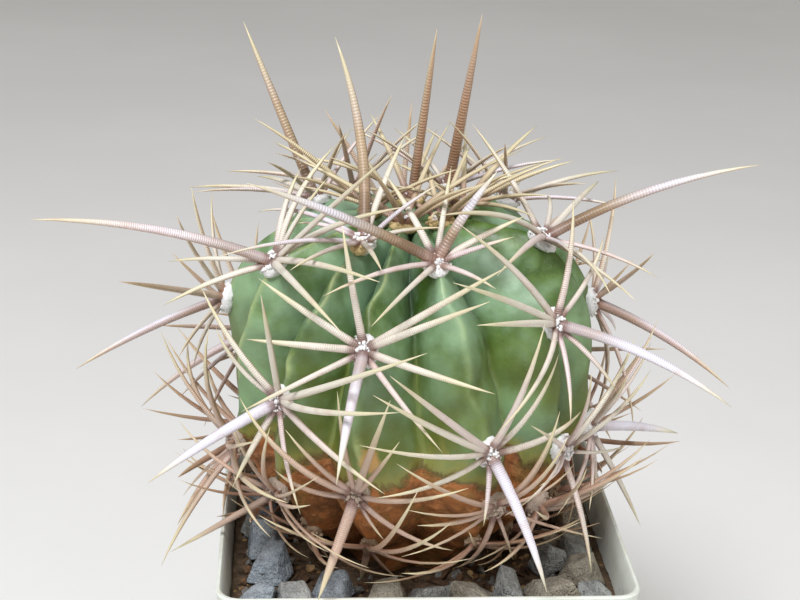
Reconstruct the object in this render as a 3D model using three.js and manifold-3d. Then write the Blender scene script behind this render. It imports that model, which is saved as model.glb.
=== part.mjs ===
// A potted ferocactus histrix: a square nursery pot with soil, loose gravel and one ribbed, spiny stem.
// Millimetres, +Z up. The origin is the middle of the pot's underside, and the photo looks along +Y.
import * as THREE from "three";
import { mergeVertices } from "three/addons/utils/BufferGeometryUtils.js";
import { ConvexGeometry } from "three/addons/geometries/ConvexGeometry.js";
import Module from "manifold-3d";

const wasm = await Module();
wasm.setup();

// The clearance that neighbouring pieces keep
const GAP = 0.3;

// The pot, a common 9 cm square nursery pot
const POT_TOP = 90;
const POT_FOOT = 68;
const POT_HEIGHT = 80;
const POT_WALL = 1.2;
const POT_CORNER = 5;
const DRAIN_HOLE = 7;
const DRAIN_PLACE = 21;

// The soil, and the hole that the stem's neck stands in
const SOIL_TOP = 71;
const NECK_BOTTOM = 60;
const NECK_HOLE = 17.3;

// The stem: crest outline from the crown to the neck, as radius and height
const STEM_X = -2.3;
const CREST = [
  [0, 148],
  [9, 150],
  [18, 149.5],
  [27, 146.8],
  [35, 141],
  [39.5, 132.5],
  [40.8, 121],
  [39.8, 106],
  [37.5, 97],
  [32, 88.5],
  [24, 80],
  [16.5, 72],
  [13.5, NECK_BOTTOM],
];
const FURROW = 12;
const FURROW_START = 30;
const FURROW_END = 20;
const FURROW_FADE = [52, 88];
const FURROW_LOSS = 0.56;
const FLAT_SHARE = [0.42, 0.82];
const FLAT_FROM = [18, 40];
const SWELL = 1.2;
const SWELL_REACH = 7;
const SKIN_ROWS = 21;

// The ribs, counted to the right from the one nearest the camera. "at" is the crest's azimuth in
// degrees from -Y toward +X, "swing" is how far it moves over 50 mm of crest, and "areoles" are
// distances in mm along the crest from the crown.
const RIBS = [
  { at: -17.5, swing: -3, areoles: [11, 47, 79, 98] },
  { at: 13, swing: 17, areoles: [28, 69, 83, 98] },
  { at: 44.5, swing: 9, areoles: [9, 45, 74, 90] },
  { at: 70, swing: -1, areoles: [29, 74, 92, 107] },
  { at: 100, swing: 0, areoles: [11, 53, 86, 103] },
  { at: 127, swing: 2, areoles: [27, 72, 94, 108] },
  { at: 154, swing: 0, areoles: [20, 60, 88, 104] },
  { at: 181, swing: -2, areoles: [9, 48, 84, 101] },
  { at: 208, swing: 0, areoles: [27, 70, 92, 107] },
  { at: 235, swing: 2, areoles: [26, 66, 89, 105] },
  { at: 261, swing: -4, areoles: [10, 52, 86, 103] },
  { at: 293, swing: -13, areoles: [35, 79, 95, 107] },
  { at: 320, swing: -16, areoles: [23, 61, 85, 101] },
];

// The wool pads of the areoles, which sit on the crest: half length, half width and thickness
const PADS = {
  young: [2.7, 2.2, 1.5],
  grown: [3.4, 2.7, 1.9],
  old: [2, 1.7, 1.3],
};

// Spine thickness at the root, as a radius, for each kind
const THICK = { central: 1.3, strong: 0.85, radial: 0.68, thin: 0.45 };

// Spines read from the photo, by rib and areole. Each one is its clock angle seen from outside with
// the crown at 0, its lift off the skin, its length, its bend and its kind. The bend is toward the
// skin, or down the rib for a central spine.
const SEEN = {
  "0.0": [
    [0, 29, 39, 20, "radial"],
    [41, 29, 34, 22, "radial"],
    [85, 36, 26, 18, "radial"],
    [135, 38, 28, 18, "strong"],
    [186, 44, 30, 16, "radial"],
    [232, 36, 28, 18, "radial"],
    [275, 34, 26, 18, "strong"],
    [318, 36, 24, 18, "radial"],
  ],
  "0.1": [
    [171, 54, 32, 23, "central"],
    [350, 27, 25, 13, "strong"],
    [56, 24, 36, 9, "strong"],
    [64, 26, 30, 10, "strong"],
    [300, 26, 24, 27, "strong"],
    [271, 28, 22, 19, "strong"],
    [238, 25, 26, 27, "radial"],
    [99, 30, 29, 28, "strong"],
    [132, 26, 25, 26, "radial"],
  ],
  "0.2": [
    [195, 47, 22, 0, "central"],
    [313, 32, 32, 65, "strong"],
    [329, 27, 22, 26, "radial"],
    [277, 21, 18, 60, "radial"],
    [20, 24, 38, 12, "strong"],
    [31, 28, 22, 34, "radial"],
    [68, 32, 27, 47, "radial"],
    [115, 27, 22, 52, "radial"],
    [140, 27, 9, 24, "thin"],
    [2, 24, 33, 18, "radial"],
  ],
  "0.3": [
    [26, 20, 44, 46, "radial"],
    [40, 20, 36, 38, "radial"],
    [64, 22, 28, 34, "thin"],
    [352, 26, 26, 18, "thin"],
    [320, 20, 28, 26, "radial"],
    [150, 24, 18, 12, "thin"],
    [195, 26, 11, 4, "strong"],
  ],
  "1.0": [
    [44, 46, 22, 20, "central"],
    [275, 33, 47, 16, "central"],
    [239, 28, 29, 29, "radial"],
    [212, 24, 34, 6, "radial"],
    [142, 29, 15, 23, "radial"],
    [75, 28, 19, 12, "strong"],
    [88, 26, 15, 8, "radial"],
    [332, 26, 21, 23, "strong"],
    [12, 34, 20, 16, "radial"],
  ],
  "1.1": [
    [158, 42, 30, 20, "central"],
    [314, 23, 41, 11, "strong"],
    [302, 25, 38, 28, "strong"],
    [290, 33, 35, 38, "radial"],
    [261, 30, 26, 50, "radial"],
    [8, 29, 33, 27, "strong"],
    [36, 23, 24, 56, "radial"],
    [76, 22, 22, 60, "strong"],
    [190, 27, 13, 20, "radial"],
  ],
  "1.2": [
    [315, 24, 40, 31, "radial"],
    [305, 26, 33, 27, "thin"],
    [290, 30, 27, 24, "radial"],
    [2, 31, 33, 42, "strong"],
    [354, 38, 36, 38, "radial"],
    [269, 24, 24, 28, "thin"],
    [181, 24, 23, 55, "radial"],
    [156, 26, 14, 24, "thin"],
    [106, 27, 25, 15, "thin"],
    [60, 24, 18, 50, "thin"],
  ],
  "2.0": [
    [186, 44, 30, 16, "strong"],
    [339, 30, 27, 40, "radial"],
    [96, 29, 29, 27, "radial"],
    [30, 40, 22, 18, "radial"],
    [60, 36, 26, 18, "radial"],
    [140, 36, 28, 18, "radial"],
    [230, 36, 28, 18, "radial"],
    [282, 36, 26, 18, "strong"],
  ],
  "2.1": [
    [132, 49, 39, 25, "central"],
    [13, 29, 24, 24, "strong"],
    [312, 23, 38, 25, "strong"],
    [296, 24, 42, 17, "strong"],
    [282, 26, 33, 22, "strong"],
    [244, 29, 32, 46, "radial"],
    [153, 27, 18, 30, "radial"],
    [52, 26, 22, 40, "radial"],
    [206, 26, 20, 24, "radial"],
  ],
  "2.2": [
    [186, 36, 26, 18, "strong"],
    [304, 26, 33, 30, "radial"],
    [287, 31, 32, 21, "thin"],
    [338, 28, 28, 24, "radial"],
    [16, 28, 28, 24, "strong"],
    [58, 26, 26, 32, "radial"],
    [104, 24, 22, 38, "thin"],
    [250, 24, 22, 38, "thin"],
  ],
  "3.0": [
    [147, 57, 48, 22, "central"],
    [8, 31, 27, 15, "strong"],
    [95, 27, 32, 32, "strong"],
    [290, 19, 43, 31, "strong"],
    [272, 21, 35, 36, "strong"],
    [238, 29, 33, 31, "radial"],
    [250, 28, 28, 13, "radial"],
    [226, 20, 32, 12, "radial"],
    [76, 24, 20, 46, "radial"],
    [184, 28, 24, 24, "radial"],
  ],
  "3.1": [
    [91, 47, 24, 16, "central"],
    [324, 26, 23, 15, "strong"],
    [313, 28, 30, 8, "strong"],
    [152, 29, 33, 8, "strong"],
    [252, 18, 29, 28, "radial"],
    [229, 22, 18, 14, "radial"],
    [212, 26, 13, 12, "strong"],
    [20, 28, 26, 20, "radial"],
    [60, 26, 26, 24, "radial"],
  ],
  "4.0": [
    [190, 44, 30, 16, "strong"],
    [263, 32, 37, 22, "radial"],
    [57, 28, 22, 28, "radial"],
    [12, 40, 22, 18, "radial"],
    [100, 34, 26, 18, "radial"],
    [145, 36, 28, 18, "strong"],
    [230, 36, 28, 18, "radial"],
    [310, 38, 24, 18, "radial"],
  ],
  "4.1": [
    [242, 50, 36, 26, "central"],
    [91, 30, 30, 8, "radial"],
    [127, 31, 33, 14, "radial"],
    [159, 26, 36, 42, "strong"],
    [62, 24, 28, 18, "radial"],
    [20, 28, 27, 16, "strong"],
    [200, 24, 30, 30, "radial"],
    [310, 26, 26, 20, "radial"],
  ],
  "5.0": [
    [190, 40, 30, 20, "strong"],
    [325, 28, 26, 10, "radial"],
    [10, 34, 24, 18, "radial"],
    [50, 30, 24, 18, "radial"],
    [95, 26, 26, 20, "strong"],
    [140, 26, 26, 22, "radial"],
    [235, 26, 26, 22, "radial"],
    [280, 28, 26, 20, "radial"],
  ],
  "6.0": [
    [328, 67, 42, 0, "central"],
    [40, 36, 24, 16, "radial"],
    [85, 32, 26, 18, "radial"],
    [128, 30, 28, 18, "radial"],
    [166, 30, 32, 12, "strong"],
    [215, 34, 28, 16, "radial"],
    [255, 30, 26, 18, "radial"],
    [292, 32, 24, 18, "radial"],
  ],
  "7.0": [
    [300, 84, 40, -4, "central"],
    [119, 26, 31, 40, "radial"],
    [211, 28, 33, 21, "radial"],
    [30, 50, 18, 14, "radial"],
    [75, 40, 22, 16, "radial"],
    [165, 40, 26, 16, "strong"],
    [255, 40, 24, 16, "radial"],
  ],
  "8.0": [
    [350, 48, 26, 12, "radial"],
    [30, 38, 24, 16, "radial"],
    [75, 32, 26, 18, "radial"],
    [120, 28, 28, 18, "strong"],
    [175, 38, 32, 16, "strong"],
    [225, 28, 28, 18, "radial"],
    [275, 32, 24, 16, "radial"],
    [318, 40, 22, 16, "radial"],
  ],
  "9.0": [
    [180, 84, 42, 0, "central"],
    [25, 38, 24, 16, "radial"],
    [70, 33, 26, 16, "radial"],
    [115, 28, 28, 18, "radial"],
    [165, 28, 30, 18, "strong"],
    [212, 28, 30, 18, "strong"],
    [262, 33, 26, 16, "radial"],
    [310, 38, 24, 16, "radial"],
  ],
  "10.0": [
    [166, 40, 32, 16, "strong"],
    [296, 28, 32, 10, "radial"],
    [308, 32, 30, 25, "radial"],
    [20, 40, 22, 18, "radial"],
    [70, 36, 26, 18, "radial"],
    [120, 34, 28, 18, "strong"],
    [212, 36, 28, 18, "radial"],
    [256, 34, 26, 18, "radial"],
  ],
  "10.1": [
    [132, 58, 36, 16, "central"],
    [70, 38, 34, 14, "strong"],
    [35, 28, 28, 16, "radial"],
    [5, 30, 25, 16, "strong"],
    [320, 28, 24, 18, "radial"],
    [270, 25, 24, 18, "radial"],
    [205, 25, 24, 18, "radial"],
    [120, 28, 18, 20, "radial"],
  ],
  "10.2": [
    [140, 56, 36, 20, "central"],
    [78, 28, 32, 40, "strong"],
    [300, 32, 30, 26, "strong"],
    [345, 28, 28, 24, "radial"],
    [20, 28, 26, 24, "radial"],
    [108, 26, 24, 34, "radial"],
    [195, 28, 20, 18, "radial"],
    [250, 24, 24, 26, "radial"],
  ],
  "11.0": [
    [212, 62, 51, 21, "central"],
    [198, 28, 23, 19, "strong"],
    [338, 28, 20, 30, "strong"],
    [350, 30, 27, 38, "strong"],
    [54, 20, 37, 26, "strong"],
    [59, 26, 52, 2, "strong"],
    [82, 18, 44, 20, "strong"],
    [97, 20, 41, 32, "strong"],
    [235, 26, 24, 20, "radial"],
    [20, 32, 20, 18, "radial"],
  ],
  "11.1": [
    [182, 46, 36, 19, "strong"],
    [301, 24, 30, 48, "strong"],
    [20, 18, 34, 38, "strong"],
    [233, 28, 32, 20, "thin"],
    [87, 18, 37, 46, "strong"],
    [64, 18, 34, 46, "radial"],
    [110, 22, 28, 40, "radial"],
    [340, 28, 28, 28, "radial"],
  ],
  "12.0": [
    [342, 33, 44, 38, "central"],
    [266, 26, 14, 40, "radial"],
    [208, 32, 33, 23, "radial"],
    [273, 26, 29, 48, "radial"],
    [353, 28, 27, 17, "strong"],
    [180, 26, 26, 18, "radial"],
    [140, 26, 24, 18, "radial"],
    [100, 32, 22, 16, "radial"],
    [60, 38, 20, 16, "radial"],
  ],
  "12.1": [
    [232, 55, 31, 12, "central"],
    [18, 24, 38, 0, "strong"],
    [328, 27, 27, 25, "strong"],
    [305, 25, 20, 48, "radial"],
    [64, 26, 51, 38, "strong"],
    [75, 28, 47, 36, "strong"],
    [94, 25, 41, 14, "strong"],
    [200, 27, 20, 15, "strong"],
    [150, 24, 22, 20, "radial"],
  ],
  "12.2": [
    [234, 30, 36, 2, "strong"],
    [32, 20, 36, 34, "radial"],
    [54, 19, 37, 38, "thin"],
    [61, 23, 30, 33, "radial"],
    [74, 29, 35, 26, "thin"],
    [90, 30, 36, 34, "thin"],
    [345, 26, 30, 24, "radial"],
    [300, 24, 26, 34, "radial"],
  ],
};

// The spines of an areole that the photo doesn't show, in the same order of values
const USUAL = {
  young: [
    [186, 44, 32, 16, "strong"],
    [8, 46, 24, 16, "radial"],
    [52, 40, 26, 18, "radial"],
    [95, 34, 28, 16, "radial"],
    [140, 36, 30, 18, "radial"],
    [228, 36, 30, 18, "radial"],
    [268, 34, 28, 16, "radial"],
    [312, 40, 24, 18, "radial"],
  ],
  grown: [
    [182, 54, 42, 18, "central"],
    [0, 30, 30, 16, "strong"],
    [40, 26, 31, 16, "strong"],
    [76, 24, 30, 18, "radial"],
    [112, 24, 28, 20, "radial"],
    [150, 26, 25, 24, "radial"],
    [212, 26, 25, 24, "radial"],
    [248, 24, 28, 20, "radial"],
    [284, 24, 30, 18, "radial"],
    [322, 26, 31, 16, "strong"],
  ],
  low: [
    [194, 36, 30, 16, "strong"],
    [10, 28, 30, 24, "strong"],
    [46, 26, 32, 28, "radial"],
    [82, 24, 30, 38, "radial"],
    [120, 22, 26, 42, "radial"],
    [232, 22, 24, 38, "thin"],
    [264, 24, 28, 42, "radial"],
    [300, 24, 32, 34, "radial"],
    [336, 26, 33, 26, "radial"],
  ],
  old: [
    [180, 24, 12, 6, "thin"],
    [25, 30, 26, 24, "thin"],
    [60, 24, 28, 34, "radial"],
    [95, 22, 26, 40, "thin"],
    [265, 22, 26, 40, "thin"],
    [300, 24, 28, 34, "radial"],
    [338, 30, 26, 24, "thin"],
  ],
};
const YOUNG_BEFORE = 16;
const LOW_AFTER = 76;
const OLD_AFTER = 91;
const CLOCK_SPREAD = 14;
const LIFT_SPREAD = 10;
const LENGTH_SPREAD = 0.3;

// Where a spine's sections lie along it, and how thick each is next to the root
const LONG_SECTIONS = [
  [0, 1],
  [0.35, 0.86],
  [0.7, 0.58],
  [1, 0],
];
const SHORT_SECTIONS = [
  [0, 1],
  [0.5, 0.76],
  [1, 0],
];
const LONG_FROM = 36;
const CURVED_FROM = 40;

// Where spines leave the wool: the share of the pad's size for the outer ones and for a central
// one, the height over the crest, and the length that is sunk
const ROOT_OUTER = 0.6;
const ROOT_CENTRAL = 0.15;
const ROOT_RISE = 1.3;
const ROOT_SUNK = 0.8;

// How a spine is turned about its root until it is clear of what stands already
const TURN_TRIES = 160;
const TURN_STEP = 1.5;
const TURN_ANGLE = 2.4;
const TURN_SHORTENS = 0.35;
const LIFT_LEAST = 11;
const SPINE_GAP = 0.4;
const ROOT_FREE = 5;

// The gravel stones on each side of the pot: x, y, reach, height, how much narrower they are
// across than along, and the heading of their long way
const STONES = {
  front: [
    [-36.6, -31.8, 5.8, 5.5, 0.2, 10],
    [-28.3, -32.3, 5.6, 5.5, 0.1, 0],
    [-19.7, -30.2, 6.4, 6.8, 0.2, 150],
    [-14.2, -34.5, 4, 4.5, 0, 40],
    [-8.3, -32.3, 5.6, 6.2, 0.15, 80],
    [0.8, -33, 5.9, 6.8, 0.1, 20],
    [10.4, -31.4, 8.2, 5.2, 0.4, 6],
    [18.5, -31, 5.8, 8.5, 0.2, 90],
    [27.6, -31.2, 8, 7, 0.4, -25],
    [36.8, -32.8, 5.2, 5.5, 0.1, 30],
  ],
  right: [
    [35.3, -21.5, 6.8, 7.5, 0.2, -40],
    [29, -15.5, 5.4, 7.5, 0.1, 20],
    [36, -10.5, 6, 5, 0.2, 90],
    [36.3, -1.5, 6.6, 10, 0.3, 80],
    [30.5, -5, 4.2, 4.5, 0.2, 0],
    [36.5, 7.5, 5.4, 6, 0.2, 90],
    [36, 16, 5.8, 9, 0.2, 60],
    [35.5, 23.5, 4.8, 6, 0.1, 0],
  ],
  back: [
    [34, 34, 6, 6, 0.2, 30],
    [25.5, 32.5, 6.6, 7, 0.3, 100],
    [17, 34, 6.2, 6, 0.3, 10],
    [8, 33, 6.8, 7.5, 0.2, 60],
    [-0.5, 34, 6, 6, 0.25, -20],
    [-9, 33, 6.8, 7, 0.35, 15],
    [-17.5, 34, 6, 5.5, 0.2, 80],
    [-26, 33, 6.8, 7, 0.3, -10],
    [-34, 34, 5.6, 5.5, 0.1, 0],
  ],
  left: [
    [-33.4, -17.5, 7.8, 7.3, 0.35, 60],
    [-35.2, -8.3, 6.6, 8, 0.3, 70],
    [-36.3, 0.8, 6.2, 5.5, 0.2, 90],
    [-36.2, 10.5, 6.8, 8.2, 0.3, 85],
    [-35.5, 20.5, 6.2, 8, 0.2, 60],
  ],
};

// Colours and finishes
const LOOKS = {
  pot: { color: 0xb3b3a4, roughness: 0.6, metalness: 0 },
  soil: { color: 0x3a2c22, roughness: 1, metalness: 0 },
  gravel: { color: 0x87888a, roughness: 0.9, metalness: 0 },
  stem: { color: 0x567a4b, roughness: 0.5, metalness: 0 },
  young: { color: 0xc9b583, roughness: 0.55, metalness: 0 },
  grown: { color: 0xd3c2bd, roughness: 0.5, metalness: 0 },
  old: { color: 0xa98560, roughness: 0.65, metalness: 0 },
};

const degrees = THREE.MathUtils.degToRad;

// Whole-number random draws that any language repeats
function makeRandom(seed) {
  let state = seed;
  return () => {
    state = (state * 16807) % 2147483647;
    return state / 2147483647;
  };
}

// A closed surface over rings of points, with each end ring closed to its middle
function shell(rings) {
  const count = rings[0].length;
  const points = rings.flat();
  const faces = [];
  for (let row = 0; row + 1 < rings.length; row++) {
    for (let i = 0; i < count; i++) {
      const a = row * count + i;
      const b = row * count + ((i + 1) % count);
      faces.push(a, b, b + count, a, b + count, a + count);
    }
  }
  for (const [ring, start, turned] of [
    [rings[0], 0, true],
    [rings.at(-1), (rings.length - 1) * count, false],
  ]) {
    const middle = new THREE.Vector3();
    ring.forEach((point) => middle.addScaledVector(point, 1 / count));
    points.push(middle);
    const hub = points.length - 1;
    for (let i = 0; i < count; i++) {
      const a = start + i;
      const b = start + ((i + 1) % count);
      faces.push(...(turned ? [b, a, hub] : [a, b, hub]));
    }
  }
  const geometry = new THREE.BufferGeometry().setFromPoints(points);
  geometry.setIndex(faces);
  return geometry;
}

// A three.js geometry as a solid for joining and cutting, its faces turned outward
function solid(source) {
  const geometry = source.clone();
  geometry.deleteAttribute("normal");
  geometry.deleteAttribute("uv");
  const merged = mergeVertices(geometry, 1e-4);
  const vertProperties = Float32Array.from(merged.attributes.position.array);
  const triVerts = Uint32Array.from(merged.index.array);
  const corner = (i) => new THREE.Vector3().fromArray(vertProperties, 3 * triVerts[i]);
  let volume = 0;
  for (let i = 0; i < triVerts.length; i += 3) {
    volume += corner(i).dot(corner(i + 1).cross(corner(i + 2)));
  }
  if (volume < 0) {
    for (let i = 0; i < triVerts.length; i += 3) {
      [triVerts[i], triVerts[i + 1]] = [triVerts[i + 1], triVerts[i]];
    }
  }
  return new wasm.Manifold(new wasm.Mesh({ numProp: 3, vertProperties, triVerts }));
}

// A joined or cut solid as a named mesh with flat faces
function piece(name, body, look) {
  const mesh = body.getMesh();
  const geometry = new THREE.BufferGeometry();
  geometry.setAttribute("position", new THREE.BufferAttribute(Float32Array.from(mesh.vertProperties), 3));
  geometry.setIndex(Array.from(mesh.triVerts));
  geometry.computeVertexNormals();
  const material = new THREE.MeshStandardMaterial({ ...LOOKS[look], flatShading: true });
  const result = new THREE.Mesh(geometry, material);
  result.name = name;
  return result;
}

function cylinder(radius, bottom, top, x, y, sides = 24) {
  const geometry = new THREE.CylinderGeometry(radius, radius, top - bottom, sides);
  geometry.rotateX(Math.PI / 2).translate(x, y, (top + bottom) / 2);
  return solid(geometry);
}

// Outer half width of the pot at a height
function potHalf(z) {
  return (POT_FOOT + ((POT_TOP - POT_FOOT) * z) / POT_HEIGHT) / 2;
}

// A level square ring with rounded corners
function squareRing(half, corner, z) {
  const ring = [];
  for (let quarter = 0; quarter < 4; quarter++) {
    for (let step = 0; step <= 3; step++) {
      const angle = ((quarter + step / 3) * Math.PI) / 2;
      const turn = ((quarter + 0.5) * Math.PI) / 2;
      const reach = (half - corner) * Math.SQRT2;
      ring.push(
        new THREE.Vector3(
          Math.cos(turn) * reach + Math.cos(angle) * corner,
          Math.sin(turn) * reach + Math.sin(angle) * corner,
          z,
        ),
      );
    }
  }
  return ring;
}

function squareBlock(bottom, top, inset) {
  const ring = (z) => squareRing(potHalf(z) - inset, POT_CORNER - inset, z);
  return solid(shell([ring(bottom), ring(top)]));
}

function makePot() {
  let pot = squareBlock(0, POT_HEIGHT, 0);
  pot = pot.subtract(squareBlock(POT_WALL, POT_HEIGHT + 1, POT_WALL));
  for (const x of [-DRAIN_PLACE, 0, DRAIN_PLACE]) {
    for (const y of [-DRAIN_PLACE, 0, DRAIN_PLACE]) {
      if (x !== 0 || y !== 0) {
        pot = pot.subtract(cylinder(DRAIN_HOLE / 2, -1, POT_WALL + 1, x, y, 12));
      }
    }
  }
  return piece("pot", pot, "pot");
}

function makeSoil() {
  const fill = squareBlock(POT_WALL + GAP, SOIL_TOP, POT_WALL + GAP);
  const hole = cylinder(NECK_HOLE, NECK_BOTTOM - GAP, SOIL_TOP + 1, STEM_X, 0);
  return piece("soil", fill.subtract(hole), "soil");
}

// The crest outline as points at even steps of its curve, with the length run along it
const outline = (() => {
  const curve = new THREE.SplineCurve(CREST.map(([radius, z]) => new THREE.Vector2(radius, z)));
  const points = curve.getPoints(2000);
  const run = [0];
  for (let i = 1; i < points.length; i++) {
    run.push(run[i - 1] + points[i].distanceTo(points[i - 1]));
  }
  return { points, run, length: run.at(-1) };
})();

// Radius and height of the crest at a distance along it from the crown
function crestAt(arc) {
  let low = 0;
  let high = outline.run.length - 1;
  while (high - low > 1) {
    const middle = (low + high) >> 1;
    if (outline.run[middle] > arc) {
      high = middle;
    } else {
      low = middle;
    }
  }
  const part = (arc - outline.run[low]) / (outline.run[high] - outline.run[low]);
  return outline.points[low].clone().lerp(outline.points[high], part);
}

function ribAzimuth(rib, arc) {
  const clamped = Math.min(Math.max(arc, 10), 85);
  return rib.at + (rib.swing * (clamped - 50)) / 50;
}

// A level unit vector at an azimuth
function outward(azimuth) {
  const angle = degrees(azimuth);
  return new THREE.Vector3(Math.sin(angle), -Math.cos(angle), 0);
}

// The place and directions of the crest envelope: "crown" points up the rib, "side" to the right
// of someone who looks at the skin with the crown up, and "out" away from the skin.
function frameAt(azimuth, arc) {
  const here = crestAt(arc);
  const along = crestAt(arc + 0.5).sub(crestAt(arc - 0.5)).normalize();
  const level = outward(azimuth);
  const place = level.clone().multiplyScalar(here.x);
  place.add(new THREE.Vector3(STEM_X, 0, here.y));
  const crown = level.clone().multiplyScalar(-along.x);
  crown.z = -along.y;
  const out = level.clone().multiplyScalar(-along.y);
  out.z = along.x;
  const side = crown.clone().cross(out);
  return { place, crown, side, out };
}

// How much the crest swells out beside the areoles of its rib
function swellAt(rib, arc) {
  let swell = 0;
  for (const areole of rib.areoles) {
    const near = (arc - areole) / SWELL_REACH;
    swell = Math.max(swell, SWELL * Math.exp(-near * near));
  }
  return swell * THREE.MathUtils.smoothstep(arc, 4, 20);
}

// Depth of the skin under the crest envelope: part is 0 on the crest and 1 in the furrow
function skinDepth(rib, arc, part) {
  const start = THREE.MathUtils.smoothstep(arc, 0, FURROW_START);
  const end = THREE.MathUtils.smoothstep(outline.length - arc, 0, FURROW_END);
  const fade = 1 - FURROW_LOSS * THREE.MathUtils.smoothstep(arc, ...FURROW_FADE);
  const depth = FURROW * start * fade * (0.35 + 0.65 * end);
  const [round, flat] = FLAT_SHARE;
  const straight = round + (flat - round) * THREE.MathUtils.smoothstep(arc, ...FLAT_FROM);
  const flank = straight * part + (1 - straight) * part ** 4;
  return depth * flank - swellAt(rib, arc) * (1 - part) ** 2;
}

function skinPoint(rib, azimuth, arc, part) {
  const { place, out } = frameAt(azimuth, arc);
  return place.addScaledVector(out, -skinDepth(rib, arc, part));
}

// One level of the skin: the crest, a flank, the furrow and a flank for each rib
function skinRing(arc) {
  const ring = [];
  RIBS.forEach((rib, index) => {
    const next = RIBS[(index + 1) % RIBS.length];
    const from = ribAzimuth(rib, arc);
    let to = ribAzimuth(next, arc);
    if (to < from) {
      to += 360;
    }
    const middle = (from + to) / 2;
    const flank = 0.62;
    ring.push(skinPoint(rib, from, arc, 0));
    ring.push(skinPoint(rib, from + (middle - from) * flank, arc, flank));
    ring.push(skinPoint(rib, middle, arc, 1));
    ring.push(skinPoint(next, to + (middle - to) * flank, arc, flank));
  });
  return ring;
}

// The wool pad of an areole, a low cushion just over the crest
function woolSolid(areole) {
  const [halfLength, halfWidth, thickness] = PADS[areole.stage];
  const sides = 5;
  const levels = [
    [1, GAP],
    [0.7, GAP + thickness],
  ];
  const rings = levels.map(([size, height]) => {
    const ring = [];
    for (let i = 0; i < sides; i++) {
      const angle = (2 * Math.PI * i) / sides;
      const point = areole.place.clone().addScaledVector(areole.out, height);
      point.addScaledVector(areole.crown, Math.cos(angle) * size * halfLength);
      point.addScaledVector(areole.side, Math.sin(angle) * size * halfWidth);
      ring.push(point);
    }
    return ring;
  });
  return solid(shell(rings));
}

// Every areole: its place on the crest, its stage and its spines before they are turned clear
function makeAreoles() {
  const random = makeRandom(2027);
  const areoles = [];
  RIBS.forEach((rib, ribIndex) => {
    rib.areoles.forEach((arc, place) => {
      const stage = arc < YOUNG_BEFORE ? "young" : arc > OLD_AFTER ? "old" : "grown";
      const frame = frameAt(ribAzimuth(rib, arc), arc);
      frame.place.addScaledVector(frame.out, swellAt(rib, arc));
      const seen = SEEN[`${ribIndex}.${place}`];
      const usual = USUAL[stage === "grown" && arc > LOW_AFTER ? "low" : stage];
      const spines = (seen ?? usual).map(([clock, lift, length, bend, kind]) => {
        const free = seen ? 0 : 1;
        return {
          clock: clock + free * CLOCK_SPREAD * (random() - 0.5),
          lift: lift + free * LIFT_SPREAD * (random() - 0.5),
          length: length * (1 + free * LENGTH_SPREAD * (random() - 0.5)),
          bend,
          radius: THICK[kind],
          central: kind === "central",
          sections: length >= LONG_FROM || bend >= CURVED_FROM ? LONG_SECTIONS : SHORT_SECTIONS,
        };
      });
      areoles.push({ ...frame, name: `areole_${ribIndex + 1}_${place + 1}`, stage, spines, seen: Boolean(seen) });
    });
  });
  return areoles;
}

// The middle line of a spine, at its sections
function spineLine(areole, spine, clockTurn, liftTurn, length) {
  const clock = degrees(spine.clock + clockTurn);
  const lift = degrees(Math.max(spine.lift + liftTurn, LIFT_LEAST));
  const level = areole.crown.clone().multiplyScalar(Math.cos(clock));
  level.addScaledVector(areole.side, Math.sin(clock));
  const way = level.clone().multiplyScalar(Math.cos(lift));
  way.addScaledVector(areole.out, Math.sin(lift));
  const toward = spine.central ? areole.crown.clone().negate() : areole.out.clone().negate();
  toward.addScaledVector(way, -toward.dot(way)).normalize();
  const [halfLength, halfWidth] = PADS[areole.stage];
  const spread = spine.central ? ROOT_CENTRAL : ROOT_OUTER;
  const root = areole.place.clone().addScaledVector(areole.out, ROOT_RISE);
  root.addScaledVector(areole.crown, spread * halfLength * Math.cos(clock));
  root.addScaledVector(areole.side, spread * halfWidth * Math.sin(clock));
  const turn = degrees(spine.bend);
  return spine.sections.map(([part]) => {
    const angle = turn * part;
    const ahead = turn === 0 ? part * length : (Math.sin(angle) * length) / turn;
    const aside = turn === 0 ? 0 : ((1 - Math.cos(angle)) * length) / turn;
    return root.clone().addScaledVector(way, ahead).addScaledVector(toward, aside);
  });
}

// The least distance between two straight stretches
function stretchDistance(a, b, c, d) {
  const u = b.clone().sub(a);
  const v = d.clone().sub(c);
  const w = a.clone().sub(c);
  const uu = u.dot(u);
  const uv = u.dot(v);
  const vv = v.dot(v);
  const uw = u.dot(w);
  const vw = v.dot(w);
  const clamp = (value) => Math.min(Math.max(value, 0), 1);
  const bottom = uu * vv - uv * uv;
  let s = bottom > 1e-9 ? clamp((uv * vw - vv * uw) / bottom) : 0;
  const t = clamp((uv * s + vw) / vv);
  s = clamp((uv * t - uw) / uu);
  return w.addScaledVector(u, s).addScaledVector(v, -t).length();
}

// Distance of a point outside the crest envelope
const envelope = [];
for (let i = 0; i <= 60; i++) {
  envelope.push(crestAt((i * outline.length) / 60));
}
function skinDistance(point) {
  const radius = Math.hypot(point.x - STEM_X, point.y);
  const flat = new THREE.Vector2(radius, point.z);
  let least = Infinity;
  let side = 1;
  for (let i = 0; i + 1 < envelope.length; i++) {
    const along = envelope[i + 1].clone().sub(envelope[i]);
    const across = flat.clone().sub(envelope[i]);
    const part = Math.min(Math.max(across.dot(along) / along.dot(along), 0), 1);
    const away = across.clone().addScaledVector(along, -part);
    if (away.length() < least) {
      least = away.length();
      side = along.cross(across) >= 0 ? 1 : -1;
    }
  }
  return side * least;
}

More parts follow.
